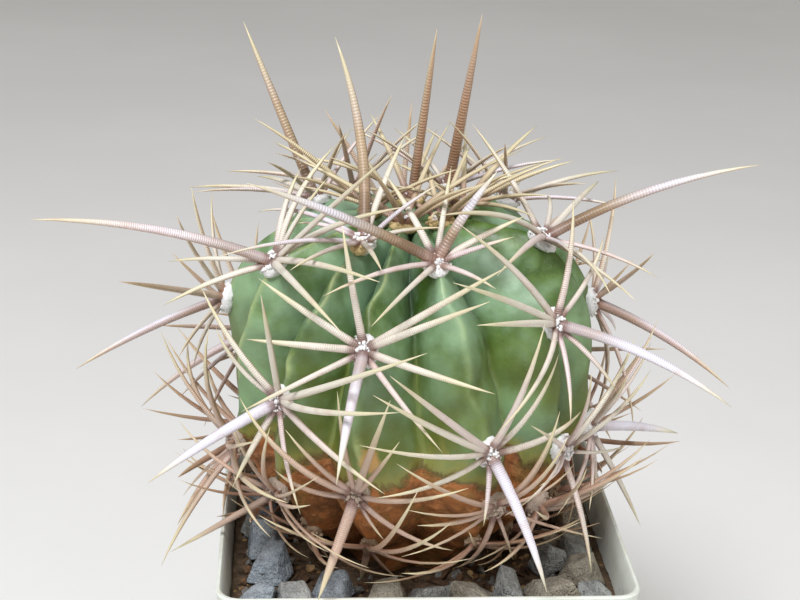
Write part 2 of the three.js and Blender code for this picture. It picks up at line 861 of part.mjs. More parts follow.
// Whether a point of a spine is clear of the soil, the stones and the pot's wall
function clearOfPot(point, radius) {
  const room = radius + SPINE_GAP;
  if (point.z < SOIL_TOP + room) {
    return false;
  }
  for (const [x, y, plan, height] of Object.values(STONES).flat()) {
    const near = Math.hypot(point.x - x, point.y - y) < plan + room;
    if (near && point.z < SOIL_TOP + GAP + height + room) {
      return false;
    }
  }
  const reach = Math.max(Math.abs(point.x), Math.abs(point.y));
  const overWall = reach > potHalf(SOIL_TOP) - POT_WALL - room && reach < potHalf(POT_HEIGHT) + room;
  return !(overWall && point.z < POT_HEIGHT + room);
}

function clearOfRest(line, spine) {
  for (let i = 0; i + 1 < line.length; i++) {
    for (let step = 0; step < 4; step++) {
      const part = step / 4;
      const point = line[i].clone().lerp(line[i + 1], part);
      const [from, to] = [spine.sections[i][0], spine.sections[i + 1][0]];
      const run = (from + (to - from) * part) * spine.length;
      if (run < ROOT_FREE) {
        continue;
      }
      if (skinDistance(point) < spine.radius + SPINE_GAP || !clearOfPot(point, spine.radius)) {
        return false;
      }
    }
  }
  return clearOfPot(line.at(-1), spine.radius);
}

function clearOfSpines(line, spine, areole, placed, areoles) {
  const middle = line[0].clone().lerp(line.at(-1), 0.5);
  const reach = spine.length / 2 + 4;
  for (const other of areoles) {
    if (other !== areole && other.place.distanceTo(middle) < reach + 6) {
      const room = PADS[other.stage][0] + spine.radius + SPINE_GAP;
      for (let i = 0; i + 1 < line.length; i++) {
        const spot = other.place;
        const tip = spot.clone().addScaledVector(other.out, 1);
        if (stretchDistance(line[i], line[i + 1], spot, tip) < room) {
          return false;
        }
      }
    }
  }
  for (const other of placed) {
    if (other.areole === areole || other.middle.distanceTo(middle) > reach + other.reach) {
      continue;
    }
    for (let i = 0; i + 1 < line.length; i++) {
      for (let j = 0; j + 1 < other.line.length; j++) {
        const thick = spine.radius * spine.sections[i][1] + other.radius * other.sections[j][1];
        const room = thick + SPINE_GAP;
        if (stretchDistance(line[i], line[i + 1], other.line[j], other.line[j + 1]) < room) {
          return false;
        }
      }
    }
  }
  return true;
}

// Spines seen in the photo are placed first, the central ones before the others. Each next one is
// turned by the first step of a widening spiral that leaves it clear, and one that finds no room
// isn't grown.
function placeSpines(areoles) {
  const placed = [];
  const rank = (areole, spine) => (areole.seen ? (spine.central ? 0 : 1) : 2);
  const pairs = areoles.flatMap((areole) => areole.spines.map((spine) => [areole, spine]));
  for (const areole of areoles) {
    areole.grown = [];
  }
  for (const turn of [0, 1, 2]) {
    for (const [areole, spine] of pairs.filter((pair) => rank(...pair) === turn)) {
      for (let attempt = 0; attempt < TURN_TRIES; attempt++) {
        const size = TURN_STEP * Math.sqrt(attempt);
        const angle = TURN_ANGLE * attempt;
        const length = spine.length * (1 - (TURN_SHORTENS * attempt) / TURN_TRIES);
        const line = spineLine(areole, spine, size * Math.cos(angle), size * Math.sin(angle), length);
        if (clearOfRest(line, spine) && clearOfSpines(line, spine, areole, placed, areoles)) {
          const middle = line[0].clone().lerp(line.at(-1), 0.5);
          const grown = { ...spine, areole, line, middle, reach: spine.length / 2 + 4 };
          placed.push(grown);
          areole.grown.push(grown);
          break;
        }
      }
    }
  }
  return placed;
}

// A three-sided spine that runs to a point, its root sunk into the wool
function spineSolid({ line, radius, sections }) {
  const sides = 3;
  const points = [];
  line.forEach((point, index) => {
    const before = line[Math.max(index - 1, 0)];
    const after = line[Math.min(index + 1, line.length - 1)];
    const way = after.clone().sub(before).normalize();
    const across = new THREE.Vector3(0.3, 0.2, 1).cross(way).normalize();
    const over = way.clone().cross(across);
    const centre = index === 0 ? point.clone().addScaledVector(way, -ROOT_SUNK) : point;
    if (index === line.length - 1) {
      points.push(point);
      return;
    }
    for (let i = 0; i < sides; i++) {
      const angle = (2 * Math.PI * i) / sides;
      const corner = centre.clone();
      corner.addScaledVector(across, Math.cos(angle) * radius * sections[index][1]);
      corner.addScaledVector(over, Math.sin(angle) * radius * sections[index][1]);
      points.push(corner);
    }
  });
  const faces = [0, 2, 1];
  const tip = points.length - 1;
  for (let row = 0; row + 2 < line.length; row++) {
    for (let i = 0; i < sides; i++) {
      const a = row * sides + i;
      const b = row * sides + ((i + 1) % sides);
      faces.push(a, b, b + sides, a, b + sides, a + sides);
    }
  }
  for (let i = 0; i < sides; i++) {
    faces.push(tip - sides + i, tip - sides + ((i + 1) % sides), tip);
  }
  const geometry = new THREE.BufferGeometry().setFromPoints(points);
  geometry.setIndex(faces);
  return solid(geometry);
}

function makeAreole(areole) {
  const spines = areole.grown.map(spineSolid);
  return piece(areole.name, wasm.Manifold.union([woolSolid(areole), ...spines]), areole.stage);
}

function makeStem() {
  const rings = [];
  for (let row = 0; row <= SKIN_ROWS; row++) {
    rings.push(skinRing(3 + ((outline.length - 3) * row) / SKIN_ROWS));
  }
  return piece("stem", solid(shell(rings)), "stem");
}

// An angular stone: the hull of a broad ring of five points and a smaller, tilted ring of four
function stoneSolid([x, y, plan, height, slim, heading], random) {
  const points = [];
  const along = degrees(heading);
  const lean = 6.3 * random();
  for (let i = 0; i < 9; i++) {
    const upper = i > 4;
    const angle = along + (upper ? 0.8 + 1.57 * i : 1.26 * i) + 0.5 * random();
    const narrow = 1 - slim * Math.sin(angle - along) ** 2;
    const reach = plan * narrow * (upper ? 0.45 + 0.35 * random() : 0.9 + 0.1 * random());
    const rise = height * (upper ? 0.74 + 0.26 * Math.cos(angle - lean) : 0.4 * random() - 0.12);
    const z = SOIL_TOP + GAP + rise;
    points.push(new THREE.Vector3(x + Math.cos(angle) * reach, y + Math.sin(angle) * reach, z));
  }
  return solid(new ConvexGeometry(points));
}

// The heap of stones on one side, joined where they lie against each other
function makeGravel(side, random) {
  const stones = STONES[side].map((stone) => stoneSolid(stone, random));
  const floor = solid(new THREE.BoxGeometry(200, 200, 20).translate(0, 0, SOIL_TOP + GAP - 10));
  return piece(`gravel_${side}`, wasm.Manifold.union(stones).subtract(floor), "gravel");
}

function makeModel() {
  const model = new THREE.Group();
  const areoles = makeAreoles();
  placeSpines(areoles);
  const random = makeRandom(811);
  model.add(makePot(), makeSoil());
  for (const side of Object.keys(STONES)) {
    model.add(makeGravel(side, random));
  }
  model.add(makeStem());
  for (const areole of areoles) {
    model.add(makeAreole(areole));
  }
  return model;
}

export default makeModel();
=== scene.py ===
# Looks for a potted ferocactus: square pot, soil, gravel, ribbed stem, wool pads and spines.
# The frame is in metres. The growing rule works in millimetres, as the part's source does.
import math

import bmesh
import bpy
import numpy as np
from bpy.props import FloatProperty, FloatVectorProperty, IntProperty, PointerProperty
from mathutils import Matrix, Vector, noise


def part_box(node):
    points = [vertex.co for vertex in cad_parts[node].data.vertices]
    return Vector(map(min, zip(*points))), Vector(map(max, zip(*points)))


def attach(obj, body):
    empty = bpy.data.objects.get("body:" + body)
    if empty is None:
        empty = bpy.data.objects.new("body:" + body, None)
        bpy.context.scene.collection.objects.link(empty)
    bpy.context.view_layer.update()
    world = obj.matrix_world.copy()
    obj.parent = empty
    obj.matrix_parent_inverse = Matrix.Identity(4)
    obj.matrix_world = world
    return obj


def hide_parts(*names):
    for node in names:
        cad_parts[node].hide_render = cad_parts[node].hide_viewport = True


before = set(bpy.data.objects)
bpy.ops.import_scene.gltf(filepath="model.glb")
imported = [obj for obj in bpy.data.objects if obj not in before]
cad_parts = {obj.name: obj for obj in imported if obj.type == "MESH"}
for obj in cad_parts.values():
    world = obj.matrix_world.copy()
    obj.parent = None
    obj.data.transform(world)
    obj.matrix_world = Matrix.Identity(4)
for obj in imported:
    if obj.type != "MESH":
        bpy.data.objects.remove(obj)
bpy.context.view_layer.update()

bl_info = {
    "name": "Potted Ferocactus",
    "version": (1, 0, 0),
    "blender": (4, 5, 0),
    "location": "3D View > Sidebar > Cactus",
    "description": "Builds a potted ferocactus with its soil, gravel, stem, wool and spines",
    "category": "Add Mesh",
}

MM = 0.001

# The pot and what it holds, from the frame
POT_LOW, POT_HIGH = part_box("pot")
SOIL_LOW, SOIL_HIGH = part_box("soil")

# The part's own driving sizes, repeated in millimetres
GAP = 0.3
POT_TOP = (POT_HIGH.x - POT_LOW.x) / MM
POT_FOOT = 68.0
POT_HEIGHT = POT_HIGH.z / MM
POT_WALL = 1.2
POT_CORNER = 5.0
DRAIN_HOLE = 7.0
DRAIN_PLACE = 21.0
SOIL_TOP = 71.0
NECK_BOTTOM = 60.0
STEM_X = -2.3

# Radius and height of the rib crests, from the crown down to the neck
CREST = [
    (0, 148), (9, 150), (18, 149.5), (27, 146.8), (35, 141), (39.5, 132.5), (40.8, 121), (39.8, 106),
    (37.5, 97), (32, 88.5), (24, 80), (16.5, 72), (13.5, NECK_BOTTOM),
]

# The furrows' depth, the stretches of crest over which they start, end and fade, and how much of
# the depth is lost there
FURROW = 12
FURROW_START = 30
FURROW_END = 20
FURROW_FADE = (52, 88)
FURROW_LOSS = 0.56
# How straight the flanks of a rib are, and the stretch of crest over which that changes
FLAT_SHARE = (0.42, 0.82)
FLAT_FROM = (18, 40)
# How far a crest swells out at an areole, and over what distance
SWELL = 1.2
SWELL_REACH = 7

# The ribs: the crest's azimuth, its swing over 50 mm of crest, and the areoles along it
RIBS = [
    (-17.5, -3, [11, 47, 79, 98]),
    (13, 17, [28, 69, 83, 98]),
    (44.5, 9, [9, 45, 74, 90]),
    (70, -1, [29, 74, 92, 107]),
    (100, 0, [11, 53, 86, 103]),
    (127, 2, [27, 72, 94, 108]),
    (154, 0, [20, 60, 88, 104]),
    (181, -2, [9, 48, 84, 101]),
    (208, 0, [27, 70, 92, 107]),
    (235, 2, [26, 66, 89, 105]),
    (261, -4, [10, 52, 86, 103]),
    (293, -13, [35, 79, 95, 107]),
    (320, -16, [23, 61, 85, 101]),
]

# Half length, half width and thickness of the wool pads
PADS = {"young": (2.7, 2.2, 1.5), "grown": (3.4, 2.7, 1.9), "old": (2, 1.7, 1.3)}
# Radius of each kind of spine at its root
THICK = {"central": 1.3, "strong": 0.85, "radial": 0.68, "thin": 0.45}

# Spines read from the photo, by rib and areole: clock angle, lift, length, bend and kind
SEEN = {
    (0, 0): [
        (0, 29, 39, 20, "radial"), (41, 29, 34, 22, "radial"), (85, 36, 26, 18, "radial"),
        (135, 38, 28, 18, "strong"), (186, 44, 30, 16, "radial"), (232, 36, 28, 18, "radial"),
        (275, 34, 26, 18, "strong"), (318, 36, 24, 18, "radial"),
    ],
    (0, 1): [
        (171, 54, 32, 23, "central"), (350, 27, 25, 13, "strong"), (56, 24, 36, 9, "strong"),
        (64, 26, 30, 10, "strong"), (300, 26, 24, 27, "strong"), (271, 28, 22, 19, "strong"),
        (238, 25, 26, 27, "radial"), (99, 30, 29, 28, "strong"), (132, 26, 25, 26, "radial"),
    ],
    (0, 2): [
        (195, 47, 22, 0, "central"), (313, 32, 32, 65, "strong"), (329, 27, 22, 26, "radial"),
        (277, 21, 18, 60, "radial"), (20, 24, 38, 12, "strong"), (31, 28, 22, 34, "radial"),
        (68, 32, 27, 47, "radial"), (115, 27, 22, 52, "radial"), (140, 27, 9, 24, "thin"),
        (2, 24, 33, 18, "radial"),
    ],
    (0, 3): [
        (26, 20, 44, 46, "radial"), (40, 20, 36, 38, "radial"), (64, 22, 28, 34, "thin"),
        (352, 26, 26, 18, "thin"), (320, 20, 28, 26, "radial"), (150, 24, 18, 12, "thin"),
        (195, 26, 11, 4, "strong"),
    ],
    (1, 0): [
        (44, 46, 22, 20, "central"), (275, 33, 47, 16, "central"), (239, 28, 29, 29, "radial"),
        (212, 24, 34, 6, "radial"), (142, 29, 15, 23, "radial"), (75, 28, 19, 12, "strong"),
        (88, 26, 15, 8, "radial"), (332, 26, 21, 23, "strong"), (12, 34, 20, 16, "radial"),
    ],
    (1, 1): [
        (158, 42, 30, 20, "central"), (314, 23, 41, 11, "strong"), (302, 25, 38, 28, "strong"),
        (290, 33, 35, 38, "radial"), (261, 30, 26, 50, "radial"), (8, 29, 33, 27, "strong"),
        (36, 23, 24, 56, "radial"), (76, 22, 22, 60, "strong"), (190, 27, 13, 20, "radial"),
    ],
    (1, 2): [
        (315, 24, 40, 31, "radial"), (305, 26, 33, 27, "thin"), (290, 30, 27, 24, "radial"),
        (2, 31, 33, 42, "strong"), (354, 38, 36, 38, "radial"), (269, 24, 24, 28, "thin"),
        (181, 24, 23, 55, "radial"), (156, 26, 14, 24, "thin"), (106, 27, 25, 15, "thin"),
        (60, 24, 18, 50, "thin"),
    ],
    (2, 0): [
        (186, 44, 30, 16, "strong"), (339, 30, 27, 40, "radial"), (96, 29, 29, 27, "radial"),
        (30, 40, 22, 18, "radial"), (60, 36, 26, 18, "radial"), (140, 36, 28, 18, "radial"),
        (230, 36, 28, 18, "radial"), (282, 36, 26, 18, "strong"),
    ],
    (2, 1): [
        (132, 49, 39, 25, "central"), (13, 29, 24, 24, "strong"), (312, 23, 38, 25, "strong"),
        (296, 24, 42, 17, "strong"), (282, 26, 33, 22, "strong"), (244, 29, 32, 46, "radial"),
        (153, 27, 18, 30, "radial"), (52, 26, 22, 40, "radial"), (206, 26, 20, 24, "radial"),
    ],
    (2, 2): [
        (186, 36, 26, 18, "strong"), (304, 26, 33, 30, "radial"), (287, 31, 32, 21, "thin"),
        (338, 28, 28, 24, "radial"), (16, 28, 28, 24, "strong"), (58, 26, 26, 32, "radial"),
        (104, 24, 22, 38, "thin"), (250, 24, 22, 38, "thin"),
    ],
    (3, 0): [
        (147, 57, 48, 22, "central"), (8, 31, 27, 15, "strong"), (95, 27, 32, 32, "strong"),
        (290, 19, 43, 31, "strong"), (272, 21, 35, 36, "strong"), (238, 29, 33, 31, "radial"),
        (250, 28, 28, 13, "radial"), (226, 20, 32, 12, "radial"), (76, 24, 20, 46, "radial"),
        (184, 28, 24, 24, "radial"),
    ],
    (3, 1): [
        (91, 47, 24, 16, "central"), (324, 26, 23, 15, "strong"), (313, 28, 30, 8, "strong"),
        (152, 29, 33, 8, "strong"), (252, 18, 29, 28, "radial"), (229, 22, 18, 14, "radial"),
        (212, 26, 13, 12, "strong"), (20, 28, 26, 20, "radial"), (60, 26, 26, 24, "radial"),
    ],
    (4, 0): [
        (190, 44, 30, 16, "strong"), (263, 32, 37, 22, "radial"), (57, 28, 22, 28, "radial"),
        (12, 40, 22, 18, "radial"), (100, 34, 26, 18, "radial"), (145, 36, 28, 18, "strong"),
        (230, 36, 28, 18, "radial"), (310, 38, 24, 18, "radial"),
    ],
    (4, 1): [
        (242, 50, 36, 26, "central"), (91, 30, 30, 8, "radial"), (127, 31, 33, 14, "radial"),
        (159, 26, 36, 42, "strong"), (62, 24, 28, 18, "radial"), (20, 28, 27, 16, "strong"),
        (200, 24, 30, 30, "radial"), (310, 26, 26, 20, "radial"),
    ],
    (5, 0): [
        (190, 40, 30, 20, "strong"), (325, 28, 26, 10, "radial"), (10, 34, 24, 18, "radial"),
        (50, 30, 24, 18, "radial"), (95, 26, 26, 20, "strong"), (140, 26, 26, 22, "radial"),
        (235, 26, 26, 22, "radial"), (280, 28, 26, 20, "radial"),
    ],
    (6, 0): [
        (328, 67, 42, 0, "central"), (40, 36, 24, 16, "radial"), (85, 32, 26, 18, "radial"),
        (128, 30, 28, 18, "radial"), (166, 30, 32, 12, "strong"), (215, 34, 28, 16, "radial"),
        (255, 30, 26, 18, "radial"), (292, 32, 24, 18, "radial"),
    ],
    (7, 0): [
        (300, 84, 40, -4, "central"), (119, 26, 31, 40, "radial"), (211, 28, 33, 21, "radial"),
        (30, 50, 18, 14, "radial"), (75, 40, 22, 16, "radial"), (165, 40, 26, 16, "strong"),
        (255, 40, 24, 16, "radial"),
    ],
    (8, 0): [
        (350, 48, 26, 12, "radial"), (30, 38, 24, 16, "radial"), (75, 32, 26, 18, "radial"),
        (120, 28, 28, 18, "strong"), (175, 38, 32, 16, "strong"), (225, 28, 28, 18, "radial"),
        (275, 32, 24, 16, "radial"), (318, 40, 22, 16, "radial"),
    ],
    (9, 0): [
        (180, 84, 42, 0, "central"), (25, 38, 24, 16, "radial"), (70, 33, 26, 16, "radial"),
        (115, 28, 28, 18, "radial"), (165, 28, 30, 18, "strong"), (212, 28, 30, 18, "strong"),
        (262, 33, 26, 16, "radial"), (310, 38, 24, 16, "radial"),
    ],
    (10, 0): [
        (166, 40, 32, 16, "strong"), (296, 28, 32, 10, "radial"), (308, 32, 30, 25, "radial"),
        (20, 40, 22, 18, "radial"), (70, 36, 26, 18, "radial"), (120, 34, 28, 18, "strong"),
        (212, 36, 28, 18, "radial"), (256, 34, 26, 18, "radial"),
    ],
    (10, 1): [
        (132, 58, 36, 16, "central"), (70, 38, 34, 14, "strong"), (35, 28, 28, 16, "radial"),
        (5, 30, 25, 16, "strong"), (320, 28, 24, 18, "radial"), (270, 25, 24, 18, "radial"),
        (205, 25, 24, 18, "radial"), (120, 28, 18, 20, "radial"),
    ],
    (10, 2): [
        (140, 56, 36, 20, "central"), (78, 28, 32, 40, "strong"), (300, 32, 30, 26, "strong"),
        (345, 28, 28, 24, "radial"), (20, 28, 26, 24, "radial"), (108, 26, 24, 34, "radial"),
        (195, 28, 20, 18, "radial"), (250, 24, 24, 26, "radial"),
    ],
    (11, 0): [
        (212, 62, 51, 21, "central"), (198, 28, 23, 19, "strong"), (338, 28, 20, 30, "strong"),
        (350, 30, 27, 38, "strong"), (54, 20, 37, 26, "strong"), (59, 26, 52, 2, "strong"),
        (82, 18, 44, 20, "strong"), (97, 20, 41, 32, "strong"), (235, 26, 24, 20, "radial"),
        (20, 32, 20, 18, "radial"),
    ],
    (11, 1): [
        (182, 46, 36, 19, "strong"), (301, 24, 30, 48, "strong"), (20, 18, 34, 38, "strong"),
        (233, 28, 32, 20, "thin"), (87, 18, 37, 46, "strong"), (64, 18, 34, 46, "radial"),
        (110, 22, 28, 40, "radial"), (340, 28, 28, 28, "radial"),
    ],
    (12, 0): [
        (342, 33, 44, 38, "central"), (266, 26, 14, 40, "radial"), (208, 32, 33, 23, "radial"),
        (273, 26, 29, 48, "radial"), (353, 28, 27, 17, "strong"), (180, 26, 26, 18, "radial"),
        (140, 26, 24, 18, "radial"), (100, 32, 22, 16, "radial"), (60, 38, 20, 16, "radial"),
    ],
    (12, 1): [
        (232, 55, 31, 12, "central"), (18, 24, 38, 0, "strong"), (328, 27, 27, 25, "strong"),
        (305, 25, 20, 48, "radial"), (64, 26, 51, 38, "strong"), (75, 28, 47, 36, "strong"),
        (94, 25, 41, 14, "strong"), (200, 27, 20, 15, "strong"), (150, 24, 22, 20, "radial"),
    ],
    (12, 2): [
        (234, 30, 36, 2, "strong"), (32, 20, 36, 34, "radial"), (54, 19, 37, 38, "thin"),
        (61, 23, 30, 33, "radial"), (74, 29, 35, 26, "thin"), (90, 30, 36, 34, "thin"),
        (345, 26, 30, 24, "radial"), (300, 24, 26, 34, "radial"),
    ],
}

# The spines of an areole that the photo doesn't show
USUAL = {
    "young": [
        (186, 44, 32, 16, "strong"), (8, 46, 24, 16, "radial"), (52, 40, 26, 18, "radial"),
        (95, 34, 28, 16, "radial"), (140, 36, 30, 18, "radial"), (228, 36, 30, 18, "radial"),
        (268, 34, 28, 16, "radial"), (312, 40, 24, 18, "radial"),
    ],
    "grown": [
        (182, 54, 42, 18, "central"), (0, 30, 30, 16, "strong"), (40, 26, 31, 16, "strong"),
        (76, 24, 30, 18, "radial"), (112, 24, 28, 20, "radial"), (150, 26, 25, 24, "radial"),
        (212, 26, 25, 24, "radial"), (248, 24, 28, 20, "radial"), (284, 24, 30, 18, "radial"),
        (322, 26, 31, 16, "strong"),
    ],
    "low": [
        (194, 36, 30, 16, "strong"), (10, 28, 30, 24, "strong"), (46, 26, 32, 28, "radial"),
        (82, 24, 30, 38, "radial"), (120, 22, 26, 42, "radial"), (232, 22, 24, 38, "thin"),
        (264, 24, 28, 42, "radial"), (300, 24, 32, 34, "radial"), (336, 26, 33, 26, "radial"),
    ],
    "old": [
        (180, 24, 12, 6, "thin"), (25, 30, 26, 24, "thin"), (60, 24, 28, 34, "radial"),
        (95, 22, 26, 40, "thin"), (265, 22, 26, 40, "thin"), (300, 24, 28, 34, "radial"),
        (338, 30, 26, 24, "thin"),
    ],
}

# How far along the crest, in mm, an areole is young, then grown, then low, then old
YOUNG_BEFORE = 16
LOW_AFTER = 76
OLD_AFTER = 91

# How far a spine that the photo doesn't show strays from the usual row
CLOCK_SPREAD = 14
LIFT_SPREAD = 10
LENGTH_SPREAD = 0.3

# Where a spine is cut across and how thick it is there, as shares, and where its root stands
LONG_SECTIONS = [(0, 1), (0.35, 0.86), (0.7, 0.58), (1, 0)]
SHORT_SECTIONS = [(0, 1), (0.5, 0.76), (1, 0)]
LONG_FROM = 36
CURVED_FROM = 40
ROOT_OUTER = 0.6
ROOT_CENTRAL = 0.15
ROOT_RISE = 1.3

# The widening spiral of turns, in degrees, by which a spine looks for free space
TURN_TRIES = 160
TURN_STEP = 1.5
TURN_ANGLE = 2.4
TURN_SHORTENS = 0.35
LIFT_LEAST = 11
SPINE_GAP = 0.4
ROOT_FREE = 5

# The gravel stones on each side of the pot: x, y, reach, height, how much narrower they are
# across than along, and the heading of their long way
STONES = {
    "front": [
        (-36.6, -31.8, 5.8, 5.5, 0.2, 10), (-28.3, -32.3, 5.6, 5.5, 0.1, 0),
        (-19.7, -30.2, 6.4, 6.8, 0.2, 150), (-14.2, -34.5, 4, 4.5, 0, 40),
        (-8.3, -32.3, 5.6, 6.2, 0.15, 80), (0.8, -33, 5.9, 6.8, 0.1, 20),
        (10.4, -31.4, 8.2, 5.2, 0.4, 6), (18.5, -31, 5.8, 8.5, 0.2, 90),
        (27.6, -31.2, 8, 7, 0.4, -25), (36.8, -32.8, 5.2, 5.5, 0.1, 30),
    ],
    "right": [
        (35.3, -21.5, 6.8, 7.5, 0.2, -40), (29, -15.5, 5.4, 7.5, 0.1, 20), (36, -10.5, 6, 5, 0.2, 90),
        (36.3, -1.5, 6.6, 10, 0.3, 80), (30.5, -5, 4.2, 4.5, 0.2, 0), (36.5, 7.5, 5.4, 6, 0.2, 90),
        (36, 16, 5.8, 9, 0.2, 60), (35.5, 23.5, 4.8, 6, 0.1, 0),
    ],
    "back": [
        (34, 34, 6, 6, 0.2, 30), (25.5, 32.5, 6.6, 7, 0.3, 100), (17, 34, 6.2, 6, 0.3, 10),
        (8, 33, 6.8, 7.5, 0.2, 60), (-0.5, 34, 6, 6, 0.25, -20), (-9, 33, 6.8, 7, 0.35, 15),
        (-17.5, 34, 6, 5.5, 0.2, 80), (-26, 33, 6.8, 7, 0.3, -10), (-34, 34, 5.6, 5.5, 0.1, 0),
    ],
    "left": [
        (-33.4, -17.5, 7.8, 7.3, 0.35, 60), (-35.2, -8.3, 6.6, 8, 0.3, 70), (-36.3, 0.8, 6.2, 5.5, 0.2, 90),
        (-36.2, 10.5, 6.8, 8.2, 0.3, 85), (-35.5, 20.5, 6.2, 8, 0.2, 60),
    ],
}

# The soil's uneven surface: waves per metre, the seed and the share of each size of wave
SOIL_WAVES = ((75, 3.1, 0.45), (240, 7.7, 0.25), (700, 1.3, 0.14))
# The rocks of the stones that aren't grey, by their order round the pot
BROWN_STONES = (4, 6, 8, 10, 13, 14, 16, 22)
BLUE_STONES = (0, 2, 19, 27, 28, 30)

# The stones' bevel and the longest edge left after each round of cuts, and the sizes of the litter
STONE_BEVEL = 0.28
STONE_CUTS = (2.0, 1.0)
BARK_BEVEL = 0.16
FIBRE_RADIUS = 0.13
FIBRE_STEPS = 7

# Looks of the scene alone: the blister's place, how dark the central spines are before a
# distance along the crest, where the wool is partly tan, and the tufts on a pad
BLISTER_AZIMUTH = -15.0
BLISTER_ARC = 72.0
DUSK = ((28, 1.0), (30, 0.6), (54, 0.26))
TAN_BEFORE = 25
TUFTS = 40

# How the horn of each kind of spine ranges from pale violet over pink to cream
TONES = {"central": (0, 0.45), "strong": (0.55, 1), "radial": (0.3, 1), "thin": (0.35, 0.9)}
# How old an areole looks, and its colour slot
AGES = {"young": 0.0, "grown": 0.5, "low": 0.86, "old": 1.0}

# The photo's camera, worked out from the corners of the pot's rim, in mm and degrees
CAMERA_PLACE = (-28.5, -371.6, 264.5)
CAMERA_TURNS = (-3.61, 19.86, 1.32)
SENSOR_WIDTH = 36

# Colours of the two lights and of the light from all round
DAYLIGHT = (0.93, 0.95, 1)
LAMPLIGHT = (1, 0.94, 0.86)
WARM_SKY = (1, 0.97, 0.93, 1)

FULL_TURN = 6.28
COAT_ROUGHNESS = 0.3


# Growing rule

def make_random(seed):
    """Whole-number random draws that the part's source makes too."""
    state = [seed]

    def draw():
        state[0] = (state[0] * 16807) % 2147483647
        return state[0] / 2147483647

    return draw


def smoothstep(value, low, high):
    part = np.clip((value - low) / (high - low), 0, 1)
    return part * part * (3 - 2 * part)


def crest_outline():
    """Radius, height and length run along the crest, at even steps of its smooth curve."""
    knots = np.array(CREST, float)
    last = len(knots) - 1
    place = np.linspace(0, 1, 2001) * last
    at = np.minimum(np.floor(place).astype(int), last)
    part = (place - at)[:, None]
    before = knots[np.where(at == 0, at, at - 1)]
    here = knots[at]
    after = knots[np.where(at > last - 1, last, at + 1)]
    beyond = knots[np.where(at > last - 2, last, at + 2)]
    leave = (after - before) * 0.5
    arrive = (beyond - here) * 0.5
    points = (2 * here - 2 * after + leave + arrive) * part**3
    points += (-3 * here + 3 * after - 2 * leave - arrive) * part**2
    points += leave * part + here
    steps = np.linalg.norm(np.diff(points, axis=0), axis=1)
    return points, np.concatenate([[0], np.cumsum(steps)])


OUTLINE, OUTLINE_RUN = crest_outline()
CREST_LENGTH = OUTLINE_RUN[-1]


def crest_at(arc):
    """Radius and height of the crest at a distance along it from the crown."""
    radius = np.interp(arc, OUTLINE_RUN, OUTLINE[:, 0])
    height = np.interp(arc, OUTLINE_RUN, OUTLINE[:, 1])
    return np.stack([radius, height], -1)


def rib_azimuth(rib, arc):
    at, swing, _ = RIBS[rib]
    return at + swing * (np.clip(arc, 10, 85) - 50) / 50


def frame_at(azimuth, arc):
    """Place on the crest envelope, and the directions to the crown, to the side and outward."""
    here = crest_at(arc)
    along = crest_at(arc + 0.5) - crest_at(arc - 0.5)
    along = along / np.linalg.norm(along, axis=-1, keepdims=True)
    angle = np.radians(azimuth)
    flat = np.zeros_like(angle)
    level = np.stack([np.sin(angle), -np.cos(angle), flat], -1)
    upright = np.array([0, 0, 1.0])
    place = level * here[..., :1] + upright * here[..., 1:] + np.array([STEM_X, 0, 0])
    crown = -level * along[..., :1] - upright * along[..., 1:]
    out = -level * along[..., 1:] + upright * along[..., :1]
    return place, crown, np.cross(crown, out), out


def swell_at(rib, arc):
    """How much the crest swells out beside the areoles of its rib."""
    near = [np.exp(-(((arc - areole) / SWELL_REACH) ** 2)) for areole in RIBS[rib][2]]
    return SWELL * np.max(near, axis=0) * smoothstep(arc, 4, 20)


class Spine:
    """One spine's directions and size before it is turned clear."""

    def __init__(self, clock, lift, length, bend, kind, nominal):
        self.clock = clock
        self.lift = lift
        self.length = length
        self.bend = bend
        self.kind = kind
        self.radius = THICK[kind]
        long = nominal >= LONG_FROM or bend >= CURVED_FROM
        self.sections = LONG_SECTIONS if long else SHORT_SECTIONS


class Areole:
    """One wool pad with its place on the crest and the spines that it grows."""

    def __init__(self, rib, index, arc):
        self.name = f"areole_{rib + 1}_{index + 1}"
        self.arc = arc
        self.stage = "young" if arc < YOUNG_BEFORE else "old" if arc > OLD_AFTER else "grown"
        place, self.crown, self.side, self.out = frame_at(rib_azimuth(rib, arc), arc)
        self.place = place + self.out * swell_at(rib, arc)
        self.seen = (rib, index) in SEEN
        self.row_kind = "low" if self.stage == "grown" and arc > LOW_AFTER else self.stage
        self.rows = SEEN.get((rib, index), USUAL[self.row_kind])
        self.spines = []
        self.grown = []


def make_areoles():
    """Every areole, with the spines that the photo shows or the usual ones of its stage."""
    random = make_random(2027)
    areoles = []
    for rib, (_, _, arcs) in enumerate(RIBS):
        for index, arc in enumerate(arcs):
            areole = Areole(rib, index, arc)
            free = 0 if areole.seen else 1
            for clock, lift, length, bend, kind in areole.rows:
                turned = clock + free * CLOCK_SPREAD * (random() - 0.5)
                lifted = lift + free * LIFT_SPREAD * (random() - 0.5)
                grown = length * (1 + free * LENGTH_SPREAD * (random() - 0.5))
                areole.spines.append(Spine(turned, lifted, grown, bend, kind, length))
            areoles.append(areole)
    return areoles


